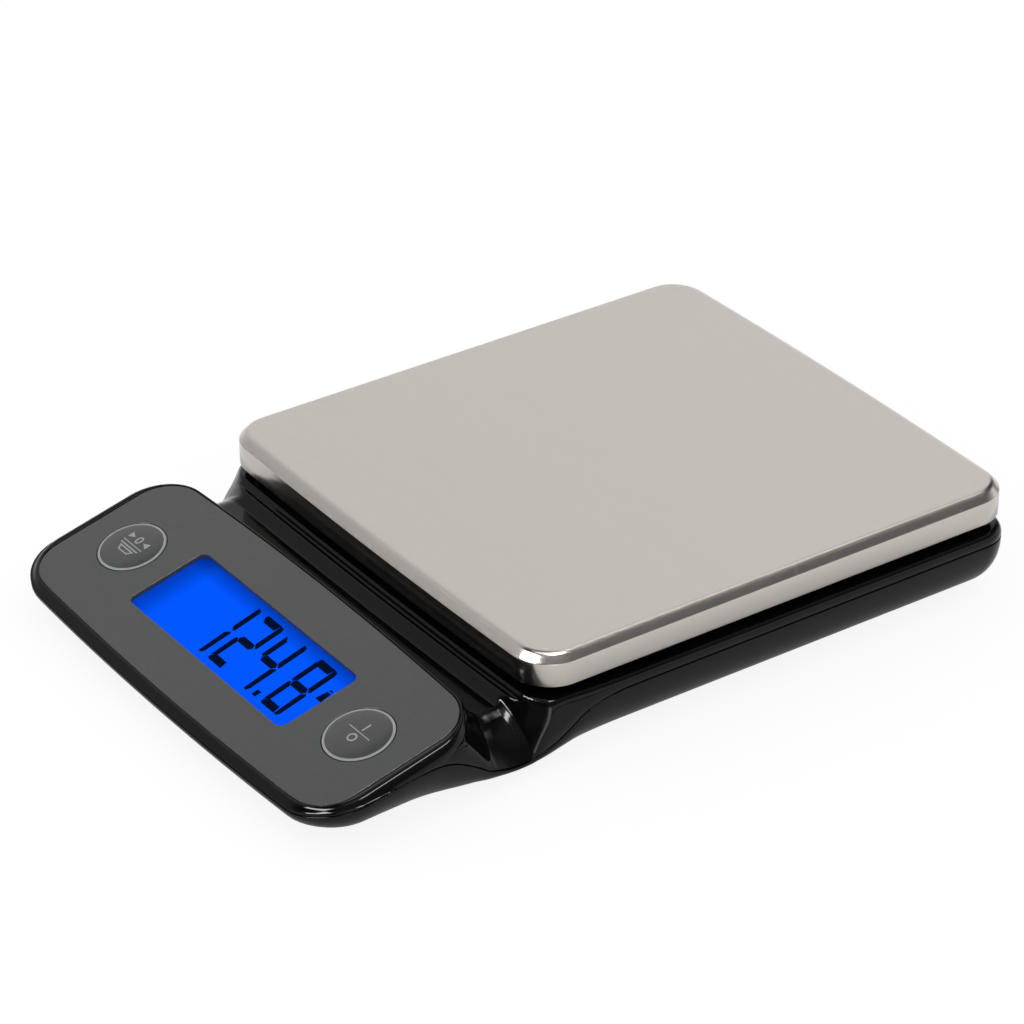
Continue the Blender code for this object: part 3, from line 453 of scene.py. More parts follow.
def ring_depth(x, y):
    """How far (x, y) is inside the base's outline."""
    straight = half_width(y) - abs(x)
    radius = BACK_RADIUS
    across = abs(x) - (half_width(y) - radius)
    ahead = y - (BASE_BACK_Y - BACK_BOW * (x / DECK_HALF_WIDTH) ** 2 - radius)
    if across > 0 and ahead > 0:
        return radius - math.hypot(across, ahead)
    return min(straight, radius - ahead)


def coons(ring, counts):
    """A grid of (x, y) inside a closed ring whose four sides have these point counts."""
    n_side, n_edge, left, front = counts
    east = [ring[i] for i in range(n_side + 1)]
    north = [ring[n_side + i] for i in range(n_edge + 1)][::-1]
    west = [ring[n_side + n_edge + i] for i in range(left + 1)][::-1]
    south = [ring[(n_side + n_edge + left + i) % len(ring)] for i in range(front + 1)]
    rows = []
    for j in range(n_side + 1):
        v = j / n_side
        row = []
        for i in range(n_edge + 1):
            u = i / n_edge
            x = [0.0, 0.0]
            for k in range(2):
                x[k] = ((1 - v) * south[i][k] + v * north[i][k] + (1 - u) * west[j][k] + u * east[j][k]
                        - (1 - u) * (1 - v) * south[0][k] - u * (1 - v) * south[-1][k]
                        - (1 - u) * v * north[0][k] - u * v * north[-1][k])
            row.append(tuple(x))
        rows.append(row)
    return rows


# The top half's lip at the seam, as (inset, rise above the seam)
DECK_LIP = ((2.0, 0.0), (0.3, 0.0), (0.1, 0.06), (0.0, 0.25))
BLOCK_LIP = ((2.0, 0.0), (0.25, 0.0), (0.06, 0.05), (0.0, 0.2))


def make_deck(look):
    rings = [base_ring(inset, lambda z, r=rise: z + SEAM_HALF_GAP + r) for inset, rise in DECK_LIP]
    for depth in DEPTHS:
        ring = []
        for (x, y), (_, edge_y) in zip(base_points(depth), BASE_EDGE):
            ring.append((x, y, neck_height(x, y, depth, seam_z(edge_y) + SEAM_HALF_GAP + 0.25)))
        rings.append(ring)
    bm = loft(rings, False, False)
    inner = [(x, y) for x, y, _ in rings[-1]]
    side_count = len(SIDE_STATIONS) + 1 + ARC_STEPS
    edge_count = EDGE_STEPS + ARC_STEPS
    grid = []
    for row in coons(inner, (side_count, edge_count, side_count, edge_count)):
        grid.append([bm.verts.new(Vector((x, y, neck_height(x, y, ring_depth(x, y), seam_z(y) + 0.38))) * MM)
                     for x, y in row])
    for near, far in zip(grid, grid[1:]):
        for i in range(len(near) - 1):
            bm.faces.new((near[i], near[i + 1], far[i + 1], far[i]))
    doomed = [face for face in bm.faces if face.calc_center_median().y < DECK_CUT_Y * MM]
    bmesh.ops.delete(bm, geom=doomed, context="FACES")
    obj = add_mesh("base_deck", bm, look, sharp=60.0)
    return seat(obj, "base", ["top_housing"])


# --- Top half: panel block -----------------------------------------------------------------------

def panel_plane_z(y):
    """Height of the panel's plane."""
    return PANEL_CENTRE.z + (y - PANEL_CENTRE.y) * math.tan(PANEL_TILT)


def block_points(inset):
    return outline_of(PANEL_HALF_WIDTH - inset, BASE_FRONT_Y + inset, PANEL_BACK_Y - inset * BACK_SQUEEZE,
                      (FRONT_RADIUS - inset, FRONT_RADIUS - inset), (FRONT_BOW, FRONT_BOW), edge=EDGE_STEPS,
                      sides=[-87.0 + 1.3 * step for step in range(15)], crowd=CROWDING)


def fascia_points(grow):
    """The fascia's outline in the panel's own X and Y."""
    return outline_of(FASCIA_HALF_WIDTH + grow, -FASCIA_HALF_DEPTH - grow, FASCIA_HALF_DEPTH + grow,
                      (FASCIA_RADIUS + grow, FASCIA_RADIUS + grow), (1.85, 1.85), edge=EDGE_STEPS,
                      sides=[-12.0 + 1.7 * step for step in range(15)], crowd=CROWDING)


def in_plane(points, rise):
    """Points of the panel's own X and Y, at a rise above its face."""
    return [tuple((PANEL_FRAME @ (Vector((x, y, rise)) * MM)) / MM) for x, y in points]


def make_block(look):
    edge = block_points(0.0)
    floor = [seam_z(y) + SEAM_HALF_GAP for _, y in edge]
    rings = []
    for inset, rise in BLOCK_LIP:
        rings.append([(x, y, z + rise) for (x, y), z in zip(block_points(inset), floor)])
    for inset, drop in RIM_PROFILE:
        rings.append([(x, y, max(panel_plane_z(y) - drop, z + 0.2))
                      for (x, y), z in zip(block_points(inset), floor)])
    rings.append(in_plane(fascia_points(0.47), 0.0))
    rings.append(in_plane(fascia_points(0.42), -0.05))
    rings.append(in_plane(fascia_points(0.4), -SEAT_DEPTH))
    rings.append(in_plane(fascia_points(-3.0), -SEAT_DEPTH))
    obj = add_mesh("panel_surround", loft(rings, False, False), look, sharp=60.0)
    return seat(obj, "base", ["top_housing"])


# --- Fascia, display and buttons ------------------------------------------------------------------

def plate(name, outlines, low, high, bevel, look, place=PANEL_FRAME):
    """A flat plate with holes and softened edges, from closed outlines drawn in place's own plane."""
    curve = bpy.data.curves.new(name, "CURVE")
    curve.dimensions = "2D"
    curve.fill_mode = "BOTH"
    curve.extrude = ((high - low) / 2 - bevel) * MM
    curve.bevel_depth = bevel * MM
    curve.bevel_resolution = 2
    curve.offset = -bevel * MM
    for points in outlines:
        spline = curve.splines.new("POLY")
        spline.points.add(len(points) - 1)
        for point, (x, y) in zip(spline.points, points):
            point.co = (x * MM, y * MM, 0.0, 1.0)
        spline.use_cyclic_u = True
    obj = bpy.data.objects.new(name, curve)
    bpy.context.scene.collection.objects.link(obj)
    obj.matrix_world = place @ Matrix.Translation(Vector((0.0, 0.0, (low + high) / 2 * MM)))
    mesh = bpy.data.meshes.new_from_object(obj)
    solid = bpy.data.objects.new(name + "_mesh", mesh)
    solid.matrix_world = obj.matrix_world
    bpy.data.objects.remove(obj)
    bpy.data.curves.remove(curve)
    solid.name = name
    bpy.context.scene.collection.objects.link(solid)
    mesh.materials.clear()
    mesh.materials.append(look)
    mesh.shade_smooth()
    mesh.set_sharp_from_angle(angle=math.radians(40))
    return solid


def circle(x, y, radius, count=64):
    return [(x + radius * math.cos(2 * math.pi * i / count), y + radius * math.sin(2 * math.pi * i / count))
            for i in range(count)]


def window_points(grow):
    return outline_of(WINDOW_HALF_WIDTH + grow, -WINDOW_HALF_DEPTH - grow, WINDOW_HALF_DEPTH + grow,
                      (2.1, 2.1), (0.0, 0.0), arcs=8, edge=2, sides=[0.0])


def make_fascia(look):
    holes = [circle(side * BUTTON_X, 0.0, BUTTON_RADIUS + 0.22) for side in (-1, 1)]
    outlines = [fascia_points(0.0), window_points(0.0), *holes]
    obj = plate("panel_fascia", outlines, -FASCIA_THICKNESS, 0.0, 0.12, look)
    return seat(obj, "base", ["display_fascia"])


DIGIT_LEAN = -0.05
DIGIT_PLACES = (("1", -8.7), ("2", 1.1), ("4", 11.15), ("8", 24.15))
DIGIT_ROW = 0.25
DECIMAL_PLACE = (17.95, DIGIT_ROW - 8.05)
WEIGHT_PLACE = (31.4, 3.0)
DIGIT_HEIGHT = 0.03
DIGIT_SEGMENTS = {"1": "bc", "2": "abged", "4": "fgbc", "8": "abcdefg"}
SEGMENTS = {
    "a": ((-3.8, 8.45), (-3.3, 9.15), (2.2, 9.15), (1.85, 6.95), (-2.7, 6.95)),
    "b": ((2.2, 9.15), (3.45, 8.85), (3.85, 7.9), (3.85, 0.6), (3.35, 0.2), (2.2, 1.35)),
    "c": ((3.3, -0.2), (3.85, -0.65), (3.85, -8.1), (3.4, -9.15), (2.4, -9.15), (2.2, -1.3)),
    "d": ((-3.7, -8.4), (-3.1, -9.15), (2.2, -9.15), (1.85, -6.95), (-2.6, -6.95)),
    "e": ((-3.85, -0.5), (-3.2, -0.18), (-2.2, -1.15), (-2.2, -6.85), (-3.75, -8.0)),
    "f": ((-3.85, 8.1), (-3.85, 0.5), (-3.1, 0.16), (-2.2, 1.15), (-2.2, 6.85)),
    "g": ((-2.95, 0.0), (-2.25, 1.05), (2.25, 1.05), (2.95, 0.0), (2.25, -1.05), (-2.25, -1.05)),
}
DECIMAL_POINT = ((-0.72, -0.95), (0.72, -0.95), (0.72, 0.95), (-0.72, 0.95))
WEIGHT_MARK = (
    ((-1.15, -2.3), (1.15, -2.3), (0.75, 0.9), (-0.75, 0.9)),
    ((-0.55, 1.3), (0.55, 1.3), (0.55, 1.8), (-0.55, 1.8)),
)


def ink(bm, corners, at, lean=0.0):
    """A flat filled shape in the display's own plane."""
    verts = [bm.verts.new(((at[0] + x + lean * y) * MM, (at[1] + y) * MM, 0.0)) for x, y in corners]
    bm.faces.new(verts)


def make_digits(look, rise):
    bm = bmesh.new()
    for digit, x in DIGIT_PLACES:
        for name in DIGIT_SEGMENTS[digit]:
            ink(bm, SEGMENTS[name], (x, DIGIT_ROW), DIGIT_LEAN)
    ink(bm, DECIMAL_POINT, DECIMAL_PLACE)
    for shape in WEIGHT_MARK:
        ink(bm, shape, WEIGHT_PLACE)
    bmesh.ops.recalc_face_normals(bm, faces=bm.faces)
    solid = bmesh.ops.extrude_face_region(bm, geom=bm.faces[:])
    raised = [item for item in solid["geom"] if isinstance(item, bmesh.types.BMVert)]
    bmesh.ops.translate(bm, verts=raised, vec=(0.0, 0.0, DIGIT_HEIGHT * MM))
    obj = add_mesh("display_digits", bm, look, place=PANEL_FRAME @ Matrix.Translation((0, 0, rise * MM)))
    return seat(obj, "base", [])


def make_display(look):
    obj = plate("display_glass", [window_points(0.9)], DISPLAY_LOW, DISPLAY_HIGH, 0.05, look)
    return seat(obj, "base", ["lcd_glass"])


def turned_rings(profile, count=96):
    """Rings of a turned shape, from its (radius, height) profile."""
    return [[(r * math.cos(2 * math.pi * i / count), r * math.sin(2 * math.pi * i / count), z)
             for i in range(count)] for r, z in profile]


def crown_z(radius):
    """Height of a button's crowned top at a radius."""
    return BUTTON_CROWN * (1.0 - (radius / BUTTON_RADIUS) ** 4)


def make_cap(name, side, look, body):
    profile = [(radius, crown_z(radius)) for radius in (0.001, 2.0, 3.5, 4.8, 5.8, 6.6, 7.3, 7.9, 8.3, 8.5)]
    profile += [(8.6, -0.02), (BUTTON_RADIUS, -0.1), (BUTTON_RADIUS, -1.5), (9.2, -1.5), (9.2, -2.0),
                (0.001, -2.0)]
    place = PANEL_FRAME @ Matrix.Translation((side * BUTTON_X * MM, 0.0, 0.0))
    obj = add_mesh(name, loft(turned_rings(profile), False, False), look, place=place)
    return seat(obj, body, [name.replace("_cap", "_button")])


def make_ring(name, side, look, body):
    """The pale ring printed along a cap's edge."""
    inner, outer = RING_RADII
    middle = (inner + outer) / 2
    profile = [(radius, crown_z(radius) + rise) for radius, rise in
               ((inner, -0.03), (inner, 0.02), (middle, 0.03), (outer, 0.02), (outer, -0.06))]
    place = PANEL_FRAME @ Matrix.Translation((side * BUTTON_X * MM, 0.0, 0.0))
    obj = add_mesh(name, loft(turned_rings(profile), False, False), look, place=place)
    return seat(obj, body, [])


def bar(x0, y0, x1, y1):
    return [(x0, y0), (x1, y0), (x1, y1), (x0, y1)]


def oval(x, y, half_x, half_y, count=32):
    return [(x + half_x * math.cos(2 * math.pi * i / count), y + half_y * math.sin(2 * math.pi * i / count))
            for i in range(count)]


def make_symbol(name, side, outlines, look, body):
    """Generic marks printed on a cap's crown."""
    place = PANEL_FRAME @ Matrix.Translation((side * BUTTON_X * MM, 0.0, 0.0))
    obj = plate(name, outlines, BUTTON_CROWN - 0.06, BUTTON_CROWN + 0.03, 0.0, look, place)
    return seat(obj, body, [])


DIVIDER = bar(-4.0, 0.18, 4.0, 0.46)
TARE_MARKS = [
    DIVIDER, oval(0.0, 2.35, 0.95, 1.3), oval(0.0, 2.35, 0.5, 0.86),
    [(-3.9, 1.35), (-1.9, 2.35), (-3.9, 3.35)], [(3.9, 1.35), (3.9, 3.35), (1.9, 2.35)],
    bar(-3.6, -0.9, 3.6, -0.5), [(-2.9, -1.3), (2.9, -1.3), (1.9, -2.9), (-1.9, -2.9)],
    [(-2.2, -1.7), (-1.55, -2.5), (1.55, -2.5), (2.2, -1.7)],
]
POWER_MARKS = [
    DIVIDER, bar(-0.24, 1.1, 0.24, 3.6), oval(0.0, -1.75, 1.3, 1.3), oval(0.0, -1.75, 0.84, 0.84),
]


# --- Platform ---------------------------------------------------------------------------------------

def platform_ring(inset, z):
    radius = PLATFORM_RADIUS - inset
    points = outline_of(PLATFORM_HALF_WIDTH - inset, PLATFORM_CENTRE_Y - PLATFORM_HALF_DEPTH + inset,
                        PLATFORM_CENTRE_Y + PLATFORM_HALF_DEPTH - inset, (radius, radius),
                        (PLATFORM_BOW, PLATFORM_BOW), arcs=20, edge=40, sides=stations(-30.0, 90.0, 6.0))
    return [(x, y, z) for x, y in points]


def make_platform(look):
    """The pressed steel cover: a skirt, a crease, a chamfer and a rounded edge to the flat top."""
    slope = (PLATFORM_TOP_Z - CREASE_Z) / CHAMFER_WIDTH
    t = STEEL_THICKNESS
    turn = math.atan(1.0 / slope)
    tangent = CREASE_RADIUS * math.tan(turn / 2)
    bend = []
    for step in range(7):
        angle = turn * step / 6
        bend.append((CREASE_RADIUS * (1.0 - math.cos(angle)),
                     CREASE_Z - tangent + CREASE_RADIUS * math.sin(angle)))
    lean = math.atan(slope)
    start = BROW_RADIUS * math.tan(lean / 2)
    brow = []
    for step in range(11):
        angle = lean * (1.0 - step / 10)
        brow.append((CHAMFER_WIDTH + start - BROW_RADIUS * math.sin(angle),
                     PLATFORM_TOP_Z - BROW_RADIUS * (1.0 - math.cos(angle))))
    profile = [
        (t + 1.5, CREASE_Z - 1.2), (t + 0.2, CREASE_Z - 2.0), (t, CREASE_Z - 2.4), (t, SKIRT_BOTTOM_Z + 0.1),
        (t - 0.1, SKIRT_BOTTOM_Z), (0.1, SKIRT_BOTTOM_Z), (0.0, SKIRT_BOTTOM_Z + 0.1), *bend,
        *brow, (CHAMFER_WIDTH + 2.0, PLATFORM_TOP_Z),
    ]
    rings = [platform_ring(inset, z) for inset, z in profile]
    obj = add_mesh("platform_cover", loft(rings, False, True), look, sharp=70.0)
    return seat(obj, "platform", ["steel_platform"])


# --- Materials --------------------------------------------------------------------------------------

class Nodes:
    """Builds one node material, with short calls for the nodes it uses."""

    def __init__(self, name, **values):
        self.material = bpy.data.materials.new(name)
        self.material.use_nodes = True
        self.tree = self.material.node_tree
        self.shader = self.tree.nodes["Principled BSDF"]
        for socket, value in values.items():
            self.shader.inputs[socket.replace("_", " ")].default_value = value

    def node(self, kind, **settings):
        made = self.tree.nodes.new(kind)
        for key, value in settings.items():
            if hasattr(made, key):
                setattr(made, key, value)
            else:
                made.inputs[key.replace("_", " ")].default_value = value
        return made

    def link(self, source, output, target, socket):
        self.tree.links.new(source.outputs[output], target.inputs[socket])

    def place(self, scale=(1.0, 1.0, 1.0)):
        coords = self.node("ShaderNodeTexCoord")
        mapping = self.node("ShaderNodeMapping")
        mapping.inputs["Scale"].default_value = scale
        self.link(coords, "Object", mapping, "Vector")
        return mapping

    def noise(self, scale, detail=3.0, stretch=(1.0, 1.0, 1.0)):
        made = self.node("ShaderNodeTexNoise", Scale=scale, Detail=detail)
        self.link(self.place(stretch), "Vector", made, "Vector")
        return made

    def ramp(self, source, output, stops):
        made = self.node("ShaderNodeValToRGB")
        ramp = made.color_ramp
        while len(ramp.elements) < len(stops):
            ramp.elements.new(0.5)
        for element, (place, colour) in zip(ramp.elements, stops):
            element.position = place
            element.color = (*colour, 1.0) if len(colour) == 3 else colour
        self.link(source, output, made, "Fac")
        return made

    def fade(self, split, axis, *stops):
        """A tone along an axis, from (place in mm, tone) stops."""
        first, last = stops[0][0], stops[-1][0]
        span = self.node("ShaderNodeMapRange")
        span.inputs["From Min"].default_value = first * MM
        span.inputs["From Max"].default_value = last * MM
        self.link(split, axis, span, "Value")
        return self.ramp(span, "Result", [((at - first) / (last - first), grey(tone)) for at, tone in stops])

    def bump(self, source, output, strength, distance):
        made = self.node("ShaderNodeBump", Strength=strength, Distance=distance)
        self.link(source, output, made, "Height")
        self.link(made, "Normal", self.shader, "Normal")
        return made


def grey(value):
    return (value, value, value)


def steel_look():
    nodes = Nodes("steel_brushed", Metallic=1.0)
    fine = nodes.noise(1.0, 2.0, (60.0, 9000.0, 600.0))
    broad = nodes.noise(1.0, 3.0, (12.0, 700.0, 60.0))
    tone = nodes.ramp(fine, "Fac", [(0.3, (0.527, 0.491, 0.456)), (0.7, (0.552, 0.515, 0.479))])
    nodes.link(tone, "Color", nodes.shader, "Base Color")
    rough = nodes.ramp(broad, "Fac", [(0.3, grey(0.17)), (0.7, grey(0.21))])
    nodes.link(rough, "Color", nodes.shader, "Roughness")
    nodes.bump(fine, "Fac", 0.06, 0.00005)
    return nodes.material


def gloss_black_look():
    nodes = Nodes("black_gloss", IOR=1.5, Specular_IOR_Level=0.2)
    soft = nodes.noise(60.0, 2.0)
    tone = nodes.ramp(soft, "Fac", [(0.3, (0.0018, 0.0018, 0.002)), (0.7, (0.0026, 0.0026, 0.0028))])
    nodes.link(tone, "Color", nodes.shader, "Base Color")
    rough = nodes.ramp(soft, "Fac", [(0.35, grey(0.07)), (0.75, grey(0.11))])
    nodes.link(rough, "Color", nodes.shader, "Roughness")
    return nodes.material


def fascia_look():
    nodes = Nodes("fascia_grey", IOR=1.5)
    soft = nodes.noise(900.0, 2.0)
    tone = nodes.ramp(soft, "Fac", [(0.3, (0.0475, 0.0485, 0.050)), (0.7, (0.052, 0.053, 0.0545))])
    nodes.link(tone, "Color", nodes.shader, "Base Color")
    rough = nodes.ramp(soft, "Fac", [(0.3, grey(0.22)), (0.7, grey(0.27))])
    nodes.link(rough, "Color", nodes.shader, "Roughness")
    return nodes.material


def display_look():
    """A lit blue display, with painted shade that darkens its glow along its back and left edges, under the
    window's edges.
    """
    nodes = Nodes("display_blue", Roughness=0.3, Specular_IOR_Level=0.0)
    nodes.shader.inputs["Base Color"].default_value = (0.0, 0.004, 0.02, 1.0)
    nodes.shader.inputs["Emission Strength"].default_value = 1.0
    split = nodes.node("ShaderNodeSeparateXYZ")
    nodes.link(nodes.place(), "Vector", split, "Vector")
    # Painted shade: the glow fades towards the display's left and back edges, as if the window's edge shaded
    # it.
    left = nodes.fade(split, "X", (-36.0, 0.42), (-31.4, 0.60), (-26.0, 1.0))
    back = nodes.fade(split, "Y", (6.4, 1.0), (9.6, 0.64), (11.4, 0.42))
    painted_edge_shade = nodes.node("ShaderNodeMath", operation="MULTIPLY")
    tree = nodes.tree
    tree.links.new(left.outputs["Color"], painted_edge_shade.inputs[0])
    tree.links.new(back.outputs["Color"], painted_edge_shade.inputs[1])
    glow = nodes.ramp(painted_edge_shade, "Value", [(0.0, (0.0, 0.0, 0.0)), (1.0, (0.0005, 0.091, 1.0))])
    nodes.link(glow, "Color", nodes.shader, "Emission Color")
    return nodes.material


def ink_look():
    nodes = Nodes("display_ink", Roughness=1.0, Specular_IOR_Level=0.0)
    soft = nodes.noise(2000.0, 1.0)
    tone = nodes.ramp(soft, "Fac", [(0.3, (0.0012, 0.005, 0.022)), (0.7, (0.0016, 0.006, 0.027))])
    nodes.link(tone, "Color", nodes.shader, "Base Color")
    return nodes.material


def plain_look(name, colour, roughness, metallic=0.0, spread=0.12, scale=400.0):
    """A plain material with a slight uneven tone and grain."""
    nodes = Nodes(name, Roughness=roughness, Metallic=metallic)
    grain = nodes.noise(scale, 3.0)
    low = tuple(c * (1.0 - spread) for c in colour)
    high = tuple(min(c * (1.0 + spread), 1.0) for c in colour)
    tone = nodes.ramp(grain, "Fac", [(0.3, low), (0.7, high)])
    nodes.link(tone, "Color", nodes.shader, "Base Color")
    nodes.bump(grain, "Fac", 0.1, 0.0001)
    return nodes.material


def clear_look():
    nodes = Nodes("clear_window", Roughness=0.02, IOR=1.04, Transmission_Weight=1.0)
    nodes.shader.inputs["Base Color"].default_value = (0.96, 0.98, 1.0, 1.0)
    return nodes.material


# --- Camera, light and floor --------------------------------------------------------------------------

CAMERA_AZIMUTH = math.radians(54.951)
CAMERA_ELEVATION = math.radians(30.704)
CAMERA_OFFSET = (25.370, 7.079, 1049.30)
CAMERA_LENS = 150.115


def make_camera():
    azimuth, elevation = CAMERA_AZIMUTH, CAMERA_ELEVATION
    right = Vector((math.cos(azimuth), math.sin(azimuth), 0.0))
    back = Vector((math.sin(azimuth) * math.cos(elevation), -math.cos(azimuth) * math.cos(elevation),
                   math.sin(elevation)))
    up = back.cross(right)
    target = Vector((0.0, PLATFORM_CENTRE_Y, SKIRT_BOTTOM_Z))
    aside, below, away = CAMERA_OFFSET
    place = target - right * aside - up * below + back * away
    data = bpy.data.cameras.new("camera")
    data.lens = CAMERA_LENS
    data.sensor_width = 36.0
    data.clip_end = 50.0
    camera = bpy.data.objects.new("camera", data)
    turn = Matrix((right, up, back)).transposed().to_4x4()
    camera.matrix_world = Matrix.Translation(place * MM) @ turn
    bpy.context.scene.collection.objects.link(camera)
    bpy.context.scene.camera = camera


class Sky:
    """The studio around the object, as a function of the direction that a ray goes in."""

    def __init__(self):
        world = bpy.data.worlds.new("studio")
        world.use_nodes = True
        world.cycles.sampling_method = "NONE"
        bpy.context.scene.world = world
        self.tree = world.node_tree
        self.background = self.tree.nodes["Background"]
        coords = self.tree.nodes.new("ShaderNodeTexCoord")
        self.direction = coords.outputs["Generated"]
        split = self.tree.nodes.new("ShaderNodeSeparateXYZ")
        self.tree.links.new(self.direction, split.inputs["Vector"])
        self.x, self.y, self.z = split.outputs

    def math(self, operation, first, second):
        made = self.tree.nodes.new("ShaderNodeMath")
        made.operation = operation
        for socket, value in zip(made.inputs, (first, second)):
            if isinstance(value, float):
                socket.default_value = value
            else:
                self.tree.links.new(value, socket)
        return made.outputs[0]

    def step(self, value, low, high):
        """0 at low and 1 at high, with a smooth change between them."""
        made = self.tree.nodes.new("ShaderNodeMapRange")
        made.interpolation_type = "SMOOTHSTEP"
        made.inputs["From Min"].default_value = low
        made.inputs["From Max"].default_value = high
        self.tree.links.new(value, made.inputs["Value"])
        return made.outputs["Result"]

    def towards(self, direction):
        made = self.tree.nodes.new("ShaderNodeVectorMath")
        made.operation = "DOT_PRODUCT"
        self.tree.links.new(self.direction, made.inputs[0])
        made.inputs[1].default_value = Vector(direction).normalized()
        return made.outputs["Value"]

    def by_height(self, stops):
        made = self.tree.nodes.new("ShaderNodeValToRGB")
        ramp = made.color_ramp
        while len(ramp.elements) < len(stops):
            ramp.elements.new(0.5)
        for element, (place, tone) in zip(ramp.elements, stops):
            element.position = place
            element.color = (tone, tone, tone, 1.0)
        self.tree.links.new(self.z, made.inputs["Fac"])
        return made.outputs["Color"]


# The room's tone in reflections, by the height of the ray
ROOM_BY_HEIGHT = ((0.0, 0.2), (0.05, 0.3), (0.1, 1.0), (0.25, 1.0), (0.38, 0.33), (0.5, 0.12), (0.62, 0.14),
                  (0.7, 0.22), (0.78, 0.3), (0.85, 0.33), (1.0, 0.25))
# Round soft lights, as (direction, cosine of the half angle, tone)
GLOWS = (((-0.25, 0.5, 0.83), 0.976, 1.25), ((-0.05, 0.02, 1.0), 0.955, 1.5), ((0.9, -0.4, 0.14), 0.982, 4.0))
# Rectangular lights overhead, as (left, right, front, back) on a plane one unit up
SOFTBOXES = ((-0.55, 0.25, -1.2, -0.7), (0.07, 0.3, -0.1, 0.35))
SOFTBOX_TONE = 30.0
FILL_TONE = 1.05


def make_sky():
    """Even white light for matt surfaces, and a studio of soft panels for reflections."""
    sky = Sky()
    low = sky.by_height(ROOM_BY_HEIGHT)
    lit = sky.math("MULTIPLY", sky.step(sky.x, -0.3, 0.1), sky.step(sky.y, -0.75, -0.45))
    low = sky.math("MULTIPLY", low, sky.math("ADD", 0.2, lit))
    wall = sky.math("MULTIPLY", sky.step(sky.x, -0.35, -0.6), sky.step(sky.z, 0.84, 0.74))
    fall = sky.math("ADD", 0.80, sky.math("MULTIPLY", sky.y, 0.36))
    wall = sky.math("MULTIPLY", wall, fall)
    room = sky.math("MAXIMUM", low, wall)
    for direction, spread, tone in GLOWS:
        glow = sky.step(sky.towards(direction), spread - 0.01, spread + 0.01)
        room = sky.math("MAXIMUM", room, sky.math("MULTIPLY", glow, tone))
    across = sky.math("DIVIDE", sky.x, sky.z)
    forward = sky.math("DIVIDE", sky.y, sky.z)
    above = sky.math("GREATER_THAN", sky.z, 0.1)
    for left, right, front, back in SOFTBOXES:
        box = sky.math("MULTIPLY", sky.step(across, left, left + 0.05), sky.step(across, right, right - 0.05))
        box = sky.math("MULTIPLY", box, sky.step(forward, front, front + 0.05))
        box = sky.math("MULTIPLY", box, sky.step(forward, back, back - 0.05))
        box = sky.math("MULTIPLY", box, above)
        room = sky.math("ADD", room, sky.math("MULTIPLY", box, SOFTBOX_TONE))
    path = sky.tree.nodes.new("ShaderNodeLightPath")
    tone = sky.tree.nodes.new("ShaderNodeMix")
    tone.data_type = "FLOAT"
    sky.tree.links.new(path.outputs["Is Glossy Ray"], tone.inputs["Factor"])
    tone.inputs["A"].default_value = FILL_TONE
    sky.tree.links.new(room, tone.inputs["B"])
    sky.tree.links.new(tone.outputs["Result"], sky.background.inputs["Strength"])
    sky.background.inputs["Color"].default_value = (1.0, 1.0, 1.0, 1.0)


FLOOR_HALF_WIDTH = 6.0      # metres
FLOOR_CLEARANCE = 0.0001    # metres


def make_studio():
    """The world and the white floor, which looks darker in reflections than to the camera."""
    make_sky()
    floor_nodes = Nodes("floor_white", Roughness=1.0, Specular_IOR_Level=0.0)
    floor_nodes.shader.inputs["Emission Color"].default_value = (1.0, 1.0, 1.0, 1.0)
    path = floor_nodes.node("ShaderNodeLightPath")
    body = floor_nodes.ramp(path, "Is Glossy Ray", [(0.0, grey(0.12)), (1.0, grey(0.85))])
    glow = floor_nodes.ramp(path, "Is Glossy Ray", [(0.0, grey(0.88)), (1.0, grey(0.06))])
    floor_nodes.link(body, "Color", floor_nodes.shader, "Base Color")
    floor_nodes.link(glow, "Color", floor_nodes.shader, "Emission Strength")
    bm = bmesh.new()
    bmesh.ops.create_grid(bm, x_segments=1, y_segments=1, size=FLOOR_HALF_WIDTH)
    floor = add_mesh("floor", bm, floor_nodes.material)
    floor.location.z = -FLOOR_CLEARANCE
    bpy.context.scene.view_settings.view_transform = "Standard"


make_camera()
make_studio()

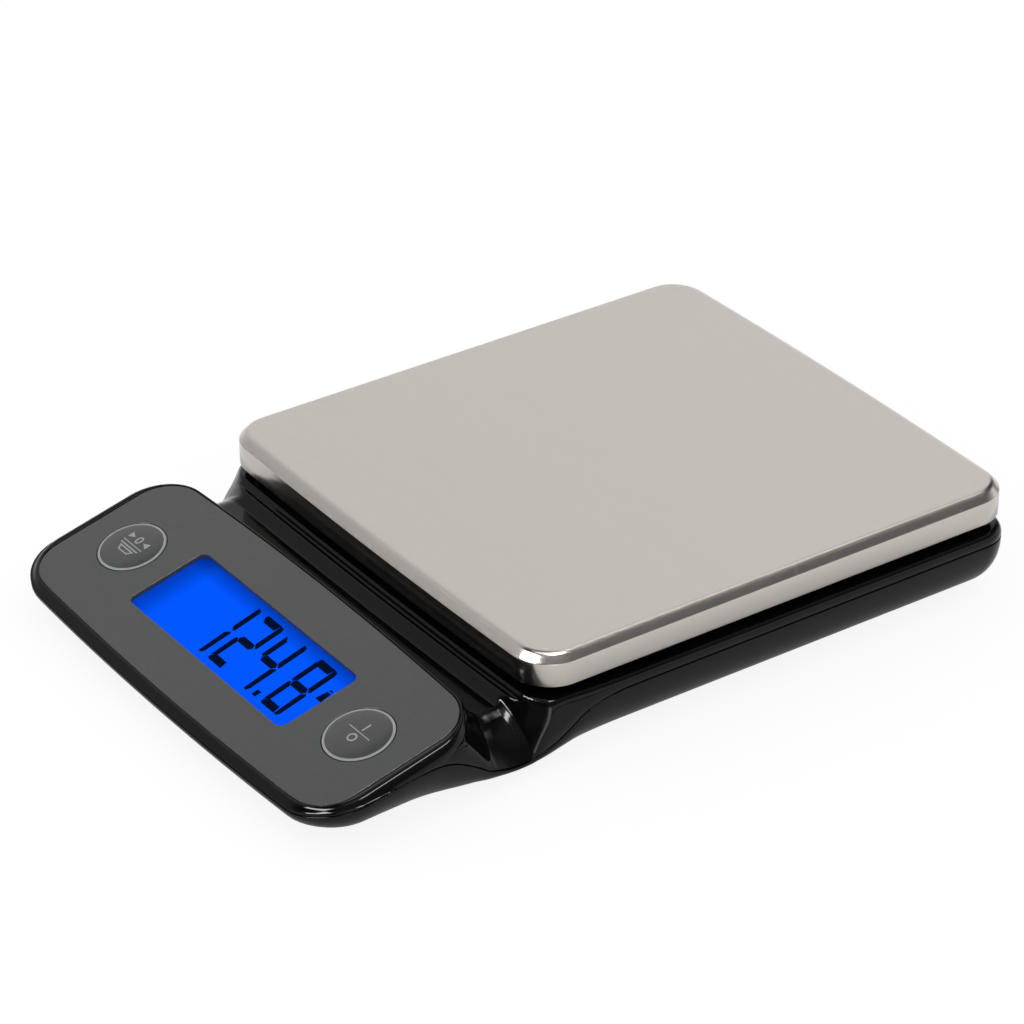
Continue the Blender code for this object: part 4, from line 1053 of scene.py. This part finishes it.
STEEL = steel_look()
BLACK = gloss_black_look()
FASCIA = fascia_look()
SLOT_LOOKS = {
    "brushed_steel": STEEL,
    "black_gloss_plastic": BLACK,
    "black_plastic": plain_look("black_matte", (0.02, 0.02, 0.021), 0.5),
    "grey_fascia": FASCIA,
    "clear_acrylic": clear_look(),
    "lcd_blue": display_look(),
    "white_plastic": plain_look("white_moulded", (0.8, 0.8, 0.78), 0.4, spread=0.03),
    "board_green": plain_look("solder_mask", (0.02, 0.16, 0.06), 0.4, spread=0.25),
    "aluminium": plain_look("aluminium_milled", (0.75, 0.76, 0.78), 0.35, 1.0, 0.06),
    "zinc_plated_steel": plain_look("zinc_plate", (0.7, 0.7, 0.68), 0.3, 1.0, 0.06),
    "nickel_plated_steel": plain_look("nickel_plate", (0.72, 0.7, 0.66), 0.25, 1.0, 0.06),
    "rubber": plain_look("rubber_black", (0.03, 0.03, 0.03), 0.85, spread=0.2),
    "white_silicone": plain_look("silicone_white", (0.85, 0.85, 0.82), 0.55, spread=0.03),
    "foam_tape": plain_look("foam_white", (0.75, 0.75, 0.72), 0.9, spread=0.08),
    "battery_wrap": plain_look("battery_sleeve", (0.1, 0.22, 0.12), 0.35, spread=0.1),
    "red_wire": plain_look("wire_red", (0.5, 0.02, 0.02), 0.45, spread=0.1),
    "black_wire": plain_look("wire_black", (0.02, 0.02, 0.02), 0.45, spread=0.1),
    "grey_cable": plain_look("cable_grey", (0.35, 0.35, 0.36), 0.5, spread=0.08),
}
for part in frame["record"]["subparts"]:
    node = frame["nodes"][part["node"]]
    node.data.materials.clear()
    node.data.materials.append(SLOT_LOOKS[part["material_slot"]])

make_bottom(BLACK)
make_deck(BLACK)
make_block(BLACK)
make_fascia(FASCIA)
make_display(SLOT_LOOKS["lcd_blue"])
make_digits(ink_look(), DISPLAY_HIGH)
PRINT = plain_look("print_grey", (0.26, 0.266, 0.27), 0.45, spread=0.04)
for label, side, marks in (("tare", -1, TARE_MARKS), ("power", 1, POWER_MARKS)):
    make_cap(label + "_cap", side, FASCIA, label + "_cap")
    make_ring(label + "_ring", side, PRINT, label + "_cap")
    make_symbol(label + "_symbol", side, marks, PRINT, label + "_cap")
make_platform(STEEL)
